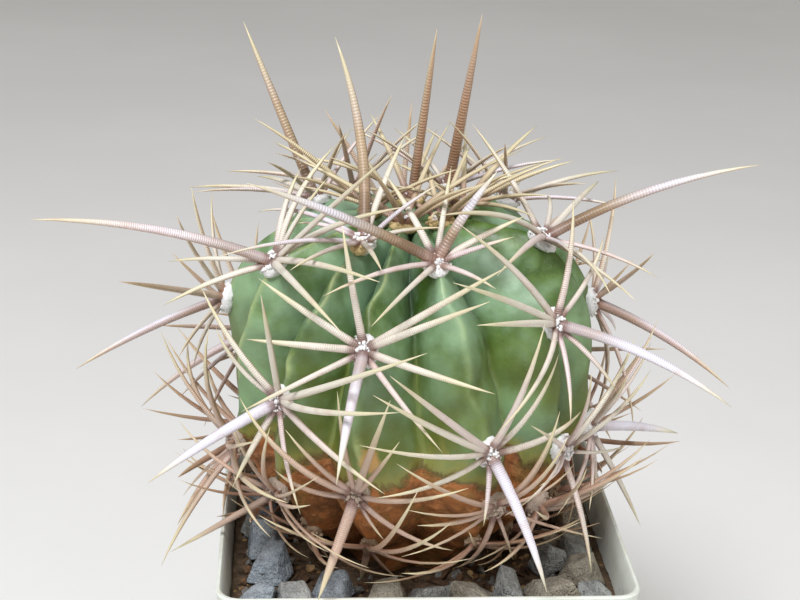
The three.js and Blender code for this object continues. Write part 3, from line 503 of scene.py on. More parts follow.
def spine_points(areole, spine, clock_turn, lift_turn, length, parts):
    """The middle line of a spine at shares of its length."""
    clock = math.radians(spine.clock + clock_turn)
    lift = math.radians(max(spine.lift + lift_turn, LIFT_LEAST))
    level = areole.crown * math.cos(clock) + areole.side * math.sin(clock)
    way = level * math.cos(lift) + areole.out * math.sin(lift)
    central = spine.kind == "central"
    toward = -areole.crown if central else -areole.out
    toward = toward - way * toward.dot(way)
    toward = toward / np.linalg.norm(toward)
    half_length, half_width, _ = PADS[areole.stage]
    spread = ROOT_CENTRAL if central else ROOT_OUTER
    root = areole.place + areole.out * ROOT_RISE
    root = root + areole.crown * (spread * half_length * math.cos(clock))
    root = root + areole.side * (spread * half_width * math.sin(clock))
    turn = math.radians(spine.bend)
    angle = turn * np.asarray(parts, float)
    if turn == 0:
        ahead = np.asarray(parts, float) * length
        aside = ahead * 0
    else:
        ahead = np.sin(angle) * length / turn
        aside = (1 - np.cos(angle)) * length / turn
    return root + ahead[:, None] * way + aside[:, None] * toward


def stretch_gaps(start, end, starts, ends):
    """Least distances between one straight stretch and many others."""
    u = end - start
    v = ends - starts
    w = start - starts
    uu = u.dot(u)
    uv = v.dot(u)
    vv = (v * v).sum(1)
    uw = w.dot(u)
    vw = (w * v).sum(1)
    bottom = uu * vv - uv * uv
    apart = bottom > 1e-9
    s = np.where(apart, np.clip((uv * vw - vv * uw) / np.where(apart, bottom, 1), 0, 1), 0)
    t = np.clip((uv * s + vw) / vv, 0, 1)
    s = np.clip((uv * t - uw) / uu, 0, 1)
    return np.linalg.norm(w + s[:, None] * u - t[:, None] * v, axis=1)


ENVELOPE = crest_at(np.arange(61) * CREST_LENGTH / 60)


def skin_distances(points):
    """Distances of points outside the crest envelope."""
    flat = np.stack([np.hypot(points[:, 0] - STEM_X, points[:, 1]), points[:, 2]], -1)
    along = ENVELOPE[1:] - ENVELOPE[:-1]
    across = flat[:, None] - ENVELOPE[:-1]
    part = np.clip((across * along).sum(-1) / (along * along).sum(-1), 0, 1)
    away = np.linalg.norm(across - part[..., None] * along, axis=-1)
    nearest = away.argmin(1)
    rows = np.arange(len(points))
    turn = along[nearest, 0] * across[rows, nearest, 1] - along[nearest, 1] * across[rows, nearest, 0]
    return np.where(turn >= 0, 1, -1) * away[rows, nearest]


ALL_STONES = np.array([stone for side in STONES.values() for stone in side], float)


def pot_half(height):
    """Outer half width of the pot at a height."""
    return (POT_FOOT + (POT_TOP - POT_FOOT) * height / POT_HEIGHT) / 2


def clear_of_pot(points, radius):
    """Whether points of a spine are clear of the soil, the stones and the pot's wall."""
    room = radius + SPINE_GAP
    if (points[:, 2] < SOIL_TOP + room).any():
        return False
    flat = np.hypot(points[:, None, 0] - ALL_STONES[:, 0], points[:, None, 1] - ALL_STONES[:, 1])
    low = points[:, 2:] < SOIL_TOP + GAP + ALL_STONES[:, 3] + room
    if ((flat < ALL_STONES[:, 2] + room) & low).any():
        return False
    reach = np.abs(points[:, :2]).max(1)
    inner = pot_half(SOIL_TOP) - POT_WALL - room
    over_wall = (reach > inner) & (reach < pot_half(POT_HEIGHT) + room)
    return not (over_wall & (points[:, 2] < POT_HEIGHT + room)).any()


def clear_of_rest(line, spine):
    """Whether a spine is clear of the stem and of what fills the pot."""
    points = []
    for i in range(len(line) - 1):
        from_part, to_part = spine.sections[i][0], spine.sections[i + 1][0]
        for step in range(4):
            part = step / 4
            if (from_part + (to_part - from_part) * part) * spine.length >= ROOT_FREE:
                points.append(line[i] + (line[i + 1] - line[i]) * part)
    points = np.array(points)
    if (skin_distances(points) < spine.radius + SPINE_GAP).any():
        return False
    return clear_of_pot(np.concatenate([points, line[-1:]]), spine.radius)


class Thicket:
    """The stretches of every spine placed so far, and the wool pads."""

    def __init__(self, areoles):
        self.starts = np.zeros((0, 3))
        self.ends = np.zeros((0, 3))
        self.thick = np.zeros(0)
        self.owner = np.zeros(0, int)
        self.pads = np.array([areole.place for areole in areoles])
        self.pad_ends = self.pads + np.array([areole.out for areole in areoles])
        self.pad_room = np.array([PADS[areole.stage][0] for areole in areoles])

    def clear(self, line, spine, owner):
        others = self.owner != owner
        pads = np.arange(len(self.pads)) != owner
        for i in range(len(line) - 1):
            gaps = stretch_gaps(line[i], line[i + 1], self.pads[pads], self.pad_ends[pads])
            if (gaps < self.pad_room[pads] + spine.radius + SPINE_GAP).any():
                return False
            if others.any():
                gaps = stretch_gaps(line[i], line[i + 1], self.starts[others], self.ends[others])
                room = spine.radius * spine.sections[i][1] + self.thick[others] + SPINE_GAP
                if (gaps < room).any():
                    return False
        return True

    def add(self, line, spine, owner):
        self.starts = np.concatenate([self.starts, line[:-1]])
        self.ends = np.concatenate([self.ends, line[1:]])
        thick = [spine.radius * share for _, share in spine.sections[:-1]]
        self.thick = np.concatenate([self.thick, thick])
        self.owner = np.concatenate([self.owner, [owner] * len(thick)])


def place_spines(areoles):
    """Turns each spine by the first step of a widening spiral that leaves it clear."""
    thicket = Thicket(areoles)
    pairs = [(owner, spine) for owner, areole in enumerate(areoles) for spine in areole.spines]

    def rank(pair):
        return 2 if not areoles[pair[0]].seen else 0 if pair[1].kind == "central" else 1

    for owner, spine in sorted(pairs, key=rank):
        areole = areoles[owner]
        parts = [part for part, _ in spine.sections]
        for attempt in range(TURN_TRIES):
            size = TURN_STEP * math.sqrt(attempt)
            angle = TURN_ANGLE * attempt
            length = spine.length * (1 - (TURN_SHORTENS * attempt) / TURN_TRIES)
            turns = (size * math.cos(angle), size * math.sin(angle), length)
            line = spine_points(areole, spine, *turns, parts)
            if clear_of_rest(line, spine) and thicket.clear(line, spine, owner):
                thicket.add(line, spine, owner)
                areole.grown.append((spine, turns))
                break


# Small helpers

def linear(red, green, blue):
    """A colour written as it shows on a screen, as the linear values that a shader takes."""
    values = []
    for value in (red, green, blue):
        share = value / 255
        values.append(share / 12.92 if share <= 0.04045 else ((share + 0.055) / 1.055) ** 2.4)
    return (*values, 1.0)


def colour_property(name, description, red, green, blue):
    colour = linear(red, green, blue)
    return FloatVectorProperty(
        name=name, description=description, subtype="COLOR", size=4, min=0, max=1, default=colour
    )


def length_property(name, description, millimetres):
    return FloatProperty(name=name, description=description, unit="LENGTH", default=millimetres * MM)


def take_mesh(name, bm):
    """A new mesh from a bmesh that isn't needed any more."""
    mesh = bpy.data.meshes.new(name)
    bm.to_mesh(mesh)
    bm.free()
    return mesh


def add_object(name, bm, material_list, replaced=(), smooth=True):
    """Makes an object of a bmesh at the origin, riding on the part's one body."""
    mesh = take_mesh(name, bm)
    for material in material_list:
        mesh.materials.append(material)
    for polygon in mesh.polygons:
        polygon.use_smooth = smooth
    made = bpy.data.objects.new(name, mesh)
    bpy.context.scene.collection.objects.link(made)
    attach(made, "root")
    if replaced:
        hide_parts(*replaced)
    return made


def edges_of(verts):
    return list({edge for vert in verts for edge in vert.link_edges})


def verts_in(items):
    return [item for item in items if isinstance(item, bmesh.types.BMVert)]


def open_edges_in(items):
    return [item for item in items if isinstance(item, bmesh.types.BMEdge) and item.is_boundary]


def bevel_edges(bm, width, segments):
    bmesh.ops.bevel(
        bm, geom=list(bm.edges), offset=width, segments=segments, profile=0.5, affect="EDGES", material=-1
    )


def jitter(random):
    """A random shift of up to half a unit along each axis."""
    return Vector((random() - 0.5, random() - 0.5, random() - 0.5))


def random_turn(random, axis):
    return Matrix.Rotation(random() * FULL_TURN, 4, axis)


# Node groups and materials

def add_node(tree, kind, inputs=None, **settings):
    """Adds a node, with its settings and with its inputs linked or set."""
    made = tree.nodes.new(kind)
    for name, value in settings.items():
        setattr(made, name, value)
    for key, value in (inputs or {}).items():
        if isinstance(value, bpy.types.NodeSocket):
            tree.links.new(value, made.inputs[key])
        else:
            made.inputs[key].default_value = value
    return made


def math_node(tree, operation, first, second=0.0, clamp=False):
    made = add_node(tree, "ShaderNodeMath", {0: first, 1: second}, operation=operation, use_clamp=clamp)
    return made.outputs[0]


def times(tree, first, second, clamp=False):
    return math_node(tree, "MULTIPLY", first, second, clamp)


def plus(tree, first, second, clamp=False):
    return math_node(tree, "ADD", first, second, clamp)


def minus(tree, first, second, clamp=False):
    return math_node(tree, "SUBTRACT", first, second, clamp)


def mix_colours(tree, mask, under, over, share=1.0):
    """One colour over another where the mask is 1, at a share of its full strength."""
    factor = mask if share == 1.0 else times(tree, mask, share)
    return add_node(tree, "ShaderNodeMix", {0: factor, 6: under, 7: over}, data_type="RGBA").outputs[2]


def step_mask(tree, value, low, high):
    """0 below the low value, 1 above the high one, smooth between."""
    values = {"Value": value, "From Min": low, "From Max": high}
    return add_node(tree, "ShaderNodeMapRange", values, interpolation_type="SMOOTHSTEP").outputs["Result"]


def noise_value(tree, vector, scale, detail=4.0, rough=0.55, distortion=0.0):
    values = {"Vector": vector, "Scale": scale, "Detail": detail, "Roughness": rough}
    values["Distortion"] = distortion
    return add_node(tree, "ShaderNodeTexNoise", values).outputs["Fac"]


def read_attribute(tree, name):
    return add_node(tree, "ShaderNodeAttribute", attribute_name=name).outputs["Fac"]


def start_group(name, inputs, outputs):
    """A new shader node group with named sockets, or None when it is there already."""
    if name in bpy.data.node_groups:
        return None
    tree = bpy.data.node_groups.new(name, "ShaderNodeTree")
    for label, kind, default in inputs:
        socket = tree.interface.new_socket(name=label, in_out="INPUT", socket_type=kind)
        if default is not None:
            socket.default_value = default
    for label, kind in outputs:
        tree.interface.new_socket(name=label, in_out="OUTPUT", socket_type=kind)
    return tree


def use_group(tree, name, inputs):
    return add_node(tree, "ShaderNodeGroup", inputs, node_tree=bpy.data.node_groups[name])


def mottled(tree, place, size, low, high, sharpness):
    """Two tones in soft patches."""
    sockets = [
        ("Vector", "NodeSocketVector", None),
        ("Size", "NodeSocketFloat", 200.0),
        ("Low", "NodeSocketColor", (0.1, 0.1, 0.1, 1)),
        ("High", "NodeSocketColor", (0.3, 0.3, 0.3, 1)),
        ("Sharpness", "NodeSocketFloat", 0.3),
    ]
    group = start_group("Soft mottle", sockets, [("Color", "NodeSocketColor"), ("Mask", "NodeSocketFloat")])
    if group:
        given = group.nodes.new("NodeGroupInput").outputs
        result = group.nodes.new("NodeGroupOutput").inputs
        patches = noise_value(group, given["Vector"], given["Size"], 5.0, 0.6)
        least = times(group, minus(group, 0.5, given["Sharpness"]), 0.8)
        mask = step_mask(group, patches, least, minus(group, 1.0, least))
        group.links.new(mix_colours(group, mask, given["Low"], given["High"]), result["Color"])
        group.links.new(mask, result["Mask"])
    values = {"Vector": place, "Size": size, "Low": low, "High": high, "Sharpness": sharpness}
    return use_group(tree, "Soft mottle", values).outputs["Color"]


def specks(tree, place, size, cover):
    """Small scattered specks, as a mask."""
    sockets = [
        ("Vector", "NodeSocketVector", None),
        ("Size", "NodeSocketFloat", 900.0),
        ("Cover", "NodeSocketFloat", 0.3),
    ]
    group = start_group("Fine specks", sockets, [("Mask", "NodeSocketFloat")])
    if group:
        given = group.nodes.new("NodeGroupInput").outputs
        result = group.nodes.new("NodeGroupOutput").inputs
        values = {"Vector": given["Vector"], "Scale": given["Size"]}
        cells = add_node(group, "ShaderNodeTexVoronoi", values).outputs
        tone = add_node(group, "ShaderNodeSeparateColor", {"Color": cells["Color"]}).outputs[0]
        chosen = times(group, minus(group, given["Cover"], tone), 12.0, clamp=True)
        inside = times(group, minus(group, 0.55, cells["Distance"]), 4.0, clamp=True)
        group.links.new(times(group, chosen, inside), result["Mask"])
    values = {"Vector": place, "Size": size, "Cover": cover}
    return use_group(tree, "Fine specks", values).outputs["Mask"]


def rough_relief(tree, place, coarse, fine, share):
    """Two sizes of bumps, as a height."""
    sockets = [
        ("Vector", "NodeSocketVector", None),
        ("Coarse", "NodeSocketFloat", 400.0),
        ("Fine", "NodeSocketFloat", 2500.0),
        ("Fine share", "NodeSocketFloat", 0.35),
    ]
    group = start_group("Rough relief", sockets, [("Height", "NodeSocketFloat")])
    if group:
        given = group.nodes.new("NodeGroupInput").outputs
        result = group.nodes.new("NodeGroupOutput").inputs
        bumps = noise_value(group, given["Vector"], given["Coarse"], 3.0)
        grains = noise_value(group, given["Vector"], given["Fine"], 2.0)
        height = plus(group, bumps, times(group, grains, given["Fine share"]))
        group.links.new(height, result["Height"])
    values = {"Vector": place, "Coarse": coarse, "Fine": fine, "Fine share": share}
    return use_group(tree, "Rough relief", values).outputs["Height"]


def dusted(tree, place, colour, dust, amount):
    """A pale film on faces that look up."""
    sockets = [
        ("Color", "NodeSocketColor", (0.2, 0.2, 0.2, 1)),
        ("Dust", "NodeSocketColor", linear(178, 165, 145)),
        ("Amount", "NodeSocketFloat", 0.3),
        ("Vector", "NodeSocketVector", None),
    ]
    group = start_group("Dust film", sockets, [("Color", "NodeSocketColor")])
    if group:
        given = group.nodes.new("NodeGroupInput").outputs
        result = group.nodes.new("NodeGroupOutput").inputs
        normal = group.nodes.new("ShaderNodeNewGeometry").outputs["Normal"]
        up = add_node(group, "ShaderNodeSeparateXYZ", {0: normal}).outputs["Z"]
        patches = noise_value(group, given["Vector"], 180.0, 5.0, 0.65)
        film = times(group, step_mask(group, up, 0.1, 0.95), step_mask(group, patches, 0.35, 0.7))
        mask = times(group, film, given["Amount"], clamp=True)
        group.links.new(mix_colours(group, mask, given["Color"], given["Dust"]), result["Color"])
    values = {"Color": colour, "Dust": dust, "Amount": amount, "Vector": place}
    return use_group(tree, "Dust film", values).outputs["Color"]


def start_material(name, roughness, specular=0.5, coat=0.0):
    """A material with its shader, and its Object coordinates."""
    material = bpy.data.materials.new(name)
    material.use_nodes = True
    tree = material.node_tree
    tree.nodes.clear()
    values = {"Roughness": roughness, "Specular IOR Level": specular, "Coat Weight": coat}
    shader = add_node(tree, "ShaderNodeBsdfPrincipled", {**values, "Coat Roughness": COAT_ROUGHNESS})
    output = tree.nodes.new("ShaderNodeOutputMaterial")
    tree.links.new(shader.outputs[0], output.inputs[0])
    place = tree.nodes.new("ShaderNodeTexCoord").outputs["Object"]
    return material, tree, shader, place


def add_bump(tree, shader, height, distance, strength):
    """Gives the surface small relief, by its depth in metres and its strength."""
    values = {"Height": height, "Distance": distance, "Strength": strength}
    tree.links.new(add_node(tree, "ShaderNodeBump", values).outputs["Normal"], shader.inputs["Normal"])


def pot_material(settings):
    """Off-white plastic with worn patches, dirt specks and dust."""
    material, tree, shader, place = start_material("Pot plastic", 0.5, 0.45)
    worn = mottled(tree, place, 70.0, settings.shade, settings.colour, 0.1)
    marked = mix_colours(tree, specks(tree, place, 700.0, 0.05), worn, linear(96, 84, 62), 0.35)
    dusty = dusted(tree, place, marked, linear(190, 180, 158), 0.35)
    tree.links.new(dusty, shader.inputs["Base Color"])
    rough = step_mask(tree, noise_value(tree, place, 120.0), -0.4, 1.6)
    tree.links.new(rough, shader.inputs["Roughness"])
    add_bump(tree, shader, rough_relief(tree, place, 60.0, 1800.0, 0.08), 0.0004, 0.5)
    return material


def soil_material(settings):
    material, tree, shader, place = start_material("Potting soil", 0.95, 0.25)
    base = mottled(tree, place, 420.0, settings.soil_dark, settings.soil_light, 0.34)
    coloured = mix_colours(tree, specks(tree, place, 650.0, 0.12), base, linear(150, 118, 74))
    tree.links.new(coloured, shader.inputs["Base Color"])
    add_bump(tree, shader, rough_relief(tree, place, 500.0, 2600.0, 0.4), 0.0012, 0.9)
    return material


def stone_material(name, low, high, speck, stain):
    """Crushed rock: two tones in patches, mineral specks, and brown stains in places."""
    material, tree, shader, place = start_material(name, 0.55, 0.5)
    base = mottled(tree, place, 260.0, low, high, 0.28)
    pale = mix_colours(tree, specks(tree, place, 2700.0, 0.36), base, speck, 0.36)
    dark = mix_colours(tree, specks(tree, place, 2000.0, 0.36), pale, linear(54, 52, 50), 0.5)
    patches = noise_value(tree, place, 70.0, 5.0, 0.65)
    rusty = mix_colours(tree, step_mask(tree, patches, 0.56, 0.74), dark, stain, 0.55)
    tree.links.new(dusted(tree, place, rusty, linear(178, 176, 170), 0.3), shader.inputs["Base Color"])
    add_bump(tree, shader, rough_relief(tree, place, 620.0, 2200.0, 0.6), 0.0012, 0.9)
    return material


def grit_material(name, low, high):
    material, tree, shader, place = start_material(name, 0.85, 0.35)
    tree.links.new(mottled(tree, place, 380.0, low, high, 0.2), shader.inputs["Base Color"])
    add_bump(tree, shader, rough_relief(tree, place, 900.0, 4000.0, 0.4), 0.0004, 0.8)
    return material


def green_skin(tree, place, across, down, clouds, settings):
    """Green under its waxy bloom, which is stronger toward the top where it also serves as a painted sheen,
    with olive patches low down and painted shade in the furrows near the crown.
    """
    green = mottled(tree, place, 95.0, settings.green_dark, settings.green, 0.05)
    # Waxy bloom, partly real and partly a painted sheen: stronger toward the top, where the light falls
    sheen_topward = plus(tree, times(tree, step_mask(tree, down, 66.0, 12.0), 0.55), 0.45)
    bloom_and_sheen_mask = times(tree, step_mask(tree, clouds, 0.38, 0.62), sheen_topward)
    bloom_and_sheen = mix_colours(tree, bloom_and_sheen_mask, green, settings.bloom, settings.bloom_amount)
    dotted = mix_colours(tree, specks(tree, place, 2200.0, 0.1), bloom_and_sheen, linear(176, 196, 168), 0.14)
    olive = times(tree, step_mask(tree, down, 34.0, 76.0), step_mask(tree, clouds, 0.7, 0.38))
    dulled = mix_colours(tree, olive, dotted, linear(110, 118, 42), 0.8)
    # Painted shade: darker green in the furrows near the crown
    shade = times(tree, step_mask(tree, across, 0.8, 1.0), step_mask(tree, down, 62.0, 40.0))
    furrow_shaded = mix_colours(tree, shade, dulled, linear(50, 72, 26), 0.6)
    seam = times(tree, step_mask(tree, across, 0.84, 0.98), step_mask(tree, down, 44.0, 58.0))
    return mix_colours(tree, seam, furrow_shaded, linear(158, 172, 92), 0.3)


def cork_skin(tree, place, flakes, settings):
    """Orange-brown cork with pale flakes and mossy patches."""
    cork = mottled(tree, place, 150.0, settings.cork_dark, settings.cork, 0.16)
    flecked = mix_colours(tree, step_mask(tree, flakes, 0.52, 0.66), cork, linear(206, 150, 96), 0.6)
    stains = noise_value(tree, place, 130.0, 4.0, 0.6)
    return mix_colours(tree, step_mask(tree, stains, 0.5, 0.64), flecked, linear(122, 104, 46), 0.6)


def skin_material(settings):
    """Waxy green with pale crests, orange-brown cork toward the base, and one tan blister, with painted shade
    in the furrows, a painted shadow line under the green's edge, and a painted highlight and sheen in places.
    """
    material, tree, shader, place = start_material("Stem skin", 0.45, 0.5, 0.14)
    across = read_attribute(tree, "across")
    down = read_attribute(tree, "down")
    clouds = noise_value(tree, place, 48.0, 4.0, 0.6)
    wander = noise_value(tree, place, 240.0, 4.0, 0.65)
    flakes = noise_value(tree, place, 330.0, 5.0, 0.66, 0.35)
    green = green_skin(tree, place, across, down, clouds, settings)
    # Pale, broken lines along the crests, partly the crests' own paler skin and partly a painted highlight on
    # the crest edges, most of all on the left side
    line = plus(tree, across, times(tree, wander, 0.12))
    ridge = minus(tree, 1.0, step_mask(tree, line, 0.05, 0.2))
    side = add_node(tree, "ShaderNodeSeparateXYZ", {0: place}).outputs["X"]
    leftward = times(tree, step_mask(tree, side, 0.02, -0.02), 0.7)
    broken = step_mask(tree, noise_value(tree, place, 90.0, 4.0, 0.6), 0.42, 0.62)
    chance = times(tree, plus(tree, leftward, 0.14), broken)
    crest_line_and_highlight = mix_colours(tree, times(tree, ridge, chance), green, settings.crest)
    # The cork under a ragged edge, with a yellowed margin above it and a painted shadow line along it, where
    # the green overhangs the cork
    ragged = noise_value(tree, place, 85.0, 6.0, 0.65, 0.6)
    shifted = plus(tree, down, times(tree, ragged, 26.0))
    lower = plus(tree, shifted, times(tree, across, 4.0))
    aged = mix_colours(tree, step_mask(tree, lower, 85.0, 93.0), crest_line_and_highlight, linear(156, 146, 66), 0.7)
    corky = step_mask(tree, lower, 92.0, 94.5)
    corked = mix_colours(tree, corky, aged, cork_skin(tree, place, flakes, settings))
    # Painted shadow: a dark line along the cork's upper edge
    lip = minus(tree, step_mask(tree, lower, 90.6, 92.2), step_mask(tree, lower, 92.6, 94.6))
    lip_shadowed = mix_colours(tree, lip, corked, linear(84, 54, 20), 0.55)
    # The blister over the lower front areole
    centre = frame_at(np.array([BLISTER_AZIMUTH]), np.array([BLISTER_ARC]))[0][0] * MM
    away = add_node(tree, "ShaderNodeVectorMath", {0: place, 1: tuple(centre)}, operation="DISTANCE")
    gap = plus(tree, away.outputs["Value"], times(tree, wander, 0.006))
    blister = step_mask(tree, gap, 0.0066, 0.0044)
    coloured = mix_colours(tree, blister, lip_shadowed, linear(222, 166, 104), 0.65)
    tree.links.new(coloured, shader.inputs["Base Color"])
    waxy = plus(tree, times(tree, clouds, 0.35), 0.32)
    rough = plus(tree, waxy, times(tree, corky, 0.4), clamp=True)
    tree.links.new(rough, shader.inputs["Roughness"])
    wrinkled = times(tree, times(tree, flakes, corky), 2.2)
    relief = times(tree, rough_relief(tree, place, 260.0, 2200.0, 0.12), 0.4)
    add_bump(tree, shader, plus(tree, relief, wrinkled), 0.0009, 0.8)
    return material


def wool_material(settings):
    """Off-white felt that is tan where it is young, and grey-brown where it is old."""
    material, tree, shader, place = start_material("Areole wool", 0.95, 0.2)
    fresh = mix_colours(tree, read_attribute(tree, "felt"), settings.wool, linear(216, 190, 138))
    old = step_mask(tree, read_attribute(tree, "age"), 0.5, 1.0)
    aged = mix_colours(tree, old, fresh, linear(176, 152, 126))
    crumbs = noise_value(tree, place, 900.0, 5.0, 0.75)
    pits = minus(tree, 1.0, step_mask(tree, crumbs, 0.3, 0.42))
    stained = mix_colours(tree, pits, aged, linear(206, 180, 150), 0.3)
    tree.links.new(stained, shader.inputs["Base Color"])
    add_bump(tree, shader, rough_relief(tree, place, 1500.0, 5000.0, 0.6), 0.0004, 0.9)
    return material


def horn_colour(tree, part, run, settings):
    """Horn with a dark root, a pale middle and a straw tip, changed by age, tone and dusk."""
    age = read_attribute(tree, "age")
    tone = read_attribute(tree, "tone")
    dusk = read_attribute(tree, "dusk")
    young = mix_colours(tree, step_mask(tree, part, 0.0, 0.4), linear(158, 118, 96), linear(222, 208, 170))
    pinkish = mix_colours(tree, step_mask(tree, tone, 0.25, 0.5), settings.pale, settings.pink)
    grown = mix_colours(tree, step_mask(tree, tone, 0.5, 0.75), pinkish, settings.cream)
    fresh = mix_colours(tree, step_mask(tree, age, 0.0, 0.5), young, grown)
    dry = mix_colours(tree, tone, linear(190, 150, 114), linear(194, 164, 142))
    body = mix_colours(tree, step_mask(tree, age, 0.5, 1.0), fresh, dry)
    brown = mix_colours(tree, step_mask(tree, part, 0.05, 0.5), linear(118, 94, 70), linear(190, 168, 136))
    fading = times(tree, step_mask(tree, part, 0.15, 0.65), 1.2)
    dusky = mix_colours(tree, minus(tree, times(tree, dusk, 2.0), fading, clamp=True), body, brown)
    lower = minus(tree, 1.0, step_mask(tree, run, 1.5, 7.0))
    flushed = mix_colours(tree, lower, dusky, settings.flush, 0.36)
    root = minus(tree, 1.0, step_mask(tree, run, 0.8, 2.6))
    rooted = mix_colours(tree, root, flushed, settings.root, 0.8)
    reach = plus(tree, part, times(tree, tone, 0.24))
    return mix_colours(tree, step_mask(tree, reach, 0.58, 1.05), rooted, settings.tip, 0.9)


def spine_material(settings):
    """Horn with fine rings that are coarser on dusky spines, worn patches and a tan painted shade on the side
    that faces the skin.
    """
    material, tree, shader, place = start_material("Spine horn", 0.38, 0.5, 0.22)
    part = read_attribute(tree, "part")
    run = read_attribute(tree, "run")
    horn = horn_colour(tree, part, run, settings)
    wobble = times(tree, noise_value(tree, place, 260.0, 2.0), 4.0)
    coarse = step_mask(tree, read_attribute(tree, "dusk"), 0.2, 0.6)
    rate = minus(tree, 14.0, times(tree, coarse, 5.0))
    wave = math_node(tree, "SINE", plus(tree, times(tree, run, rate), wobble))
    fade = minus(tree, 1.0, step_mask(tree, part, 0.55, 0.9))
    rings = times(tree, times(tree, plus(tree, wave, 1.0), 0.5), fade)
    strength = plus(tree, times(tree, coarse, 0.14), 0.2)
    banded = mix_colours(tree, times(tree, rings, strength), horn, linear(146, 112, 90))
    worn = step_mask(tree, noise_value(tree, place, 210.0, 4.0, 0.6), 0.5, 0.72)
    patched = mix_colours(tree, worn, banded, linear(206, 172, 150), 0.4)
    # Painted shade: a tan tint on the side of each spine that faces the skin
    under = step_mask(tree, read_attribute(tree, "under"), 0.3, 0.85)
    underside_shaded = mix_colours(tree, under, patched, linear(180, 134, 106), 0.6)
    tree.links.new(underside_shaded, shader.inputs["Base Color"])
    fine = times(tree, noise_value(tree, place, 2600.0, 2.0), 0.4)
    add_bump(tree, shader, plus(tree, rings, fine), 0.0001, 0.8)
    return material


def floor_material(settings):
    material, tree, shader, place = start_material("Studio floor", 0.7, 0.3)
    pale = mottled(tree, place, 3.0, settings.floor_shade, settings.floor, 0.0)
    tree.links.new(pale, shader.inputs["Base Color"])
    return material


# Settings

class PotSettings(bpy.types.PropertyGroup):
    """The pot's sizes and colours."""

    foot: length_property("Foot width", "Outside width of the pot's foot", POT_FOOT)
    wall: length_property("Wall", "Thickness of the pot's wall", POT_WALL)
    corner: length_property("Corner", "Radius of the pot's upright corners", POT_CORNER)
    colour: colour_property("Colour", "Plastic where it is clean", 230, 236, 228)
    shade: colour_property("Shade", "Plastic where it is worn", 218, 223, 211)


class GroundSettings(bpy.types.PropertyGroup):
    """What lies on the soil."""

    relief: length_property("Soil relief", "How far the soil's surface rises and falls", 2.2)
    grit_count: IntProperty(name="Grit", description="Grains and crumbs on the soil", default=760, min=0)
    bark_count: IntProperty(name="Bark", description="Bark chips on the soil", default=84, min=0)
    fibre_count: IntProperty(name="Fibres", description="Fine root fibres on the soil", default=26, min=0)
    soil_dark: colour_property("Dark soil", "Soil in its hollows", 32, 25, 18)
    soil_light: colour_property("Light soil", "Soil on its crumbs", 118, 96, 74)
    stone_low: colour_property("Stone shade", "Darker grey of the gravel", 98, 100, 100)
    stone_high: colour_property("Stone", "Lighter grey of the gravel", 184, 186, 180)


class StemSettings(bpy.types.PropertyGroup):
    """The stem's skin."""

    ripple: length_property("Ripple", "Uneven swelling of the ribs", 0.55)
    wrinkle: length_property("Wrinkle", "Depth of the folds in the corky base", 0.9)
    sway: FloatProperty(name="Sway", description="Degrees by which a crest sways to the side", default=1.4)
    bloom_amount: FloatProperty(
        name="Bloom", description="Strength of the waxy bloom", default=0.84, min=0, max=1
    )
    green: colour_property("Green", "Lighter green of the skin", 106, 138, 64)
    green_dark: colour_property("Dark green", "Deeper green of the skin", 70, 100, 34)
    bloom: colour_property("Bloom colour", "Waxy bloom on the skin", 156, 188, 160)
    crest: colour_property("Crest", "Pale line along the rib crests", 172, 186, 124)
    cork: colour_property("Cork", "Orange-brown cork", 208, 134, 74)
    cork_dark: colour_property("Dark cork", "Cork in its folds", 108, 68, 36)


class SpineSettings(bpy.types.PropertyGroup):
    """The spines and their wool."""

    sides: IntProperty(name="Sides", description="Sides of a spine", default=8, min=3)
    steps: IntProperty(name="Steps", description="Steps along a spine", default=9, min=5)
    flatness: FloatProperty(
        name="Flatness", description="Thickness of a spine next to its width", default=0.82
    )
    spread: FloatProperty(name="Wool spread", description="Width of the felt next to the pad's", default=1.02)
    pale: colour_property("Pale", "Palest horn of the grown spines", 238, 236, 248)
    cream: colour_property("Cream", "Cream horn of the grown spines", 242, 236, 220)
    pink: colour_property("Pink", "Pinkish horn of the grown spines", 236, 218, 214)
    flush: colour_property("Flush", "Tint on the lower part of a spine", 198, 176, 174)
    root: colour_property("Root", "Horn at a spine's root", 112, 76, 70)
    tip: colour_property("Tip", "Horn at a spine's tip", 217, 208, 168)
    wool: colour_property("Wool", "Felt of the grown areoles", 252, 251, 250)


class StageSettings(bpy.types.PropertyGroup):
    """The floor, the lights and the camera."""

    focal: FloatProperty(name="Focal length", description="Lens in mm for a 36 mm sensor", default=80.1)
    key: FloatProperty(
        name="Key light", description="Power of the main soft light", unit="POWER", default=17.0
    )
    fill: FloatProperty(
        name="Fill light", description="Power of the second soft light", unit="POWER", default=1.4
    )
    sky: FloatProperty(name="Sky", description="Strength of the light from all round", default=0.3)
    floor: colour_property("Floor", "Pale floor", 242, 241, 238)
    floor_shade: colour_property("Floor shade", "Slightly darker floor", 238, 237, 234)


# Pieces

def rounded_square(bm, half, corner, z, steps=8):
    """A level ring of edges: a square with rounded corners."""
    made = bmesh.ops.create_circle(bm, cap_ends=False, radius=1, segments=4 * steps)
    for vert in made["verts"]:
        angle = math.atan2(vert.co.y, vert.co.x) % (2 * math.pi)
        quarter = int(angle / (math.pi / 2) + 1e-6) % 4
        turn = (quarter + 0.5) * math.pi / 2
        share = (angle / (math.pi / 2) - quarter) * steps / (steps - 1)
        bend = (quarter + share) * math.pi / 2
        reach = (half - corner) * math.sqrt(2)
        vert.co.x = math.cos(turn) * reach + math.cos(bend) * corner
        vert.co.y = math.sin(turn) * reach + math.sin(bend) * corner
        vert.co.z = z
    return edges_of(made["verts"])


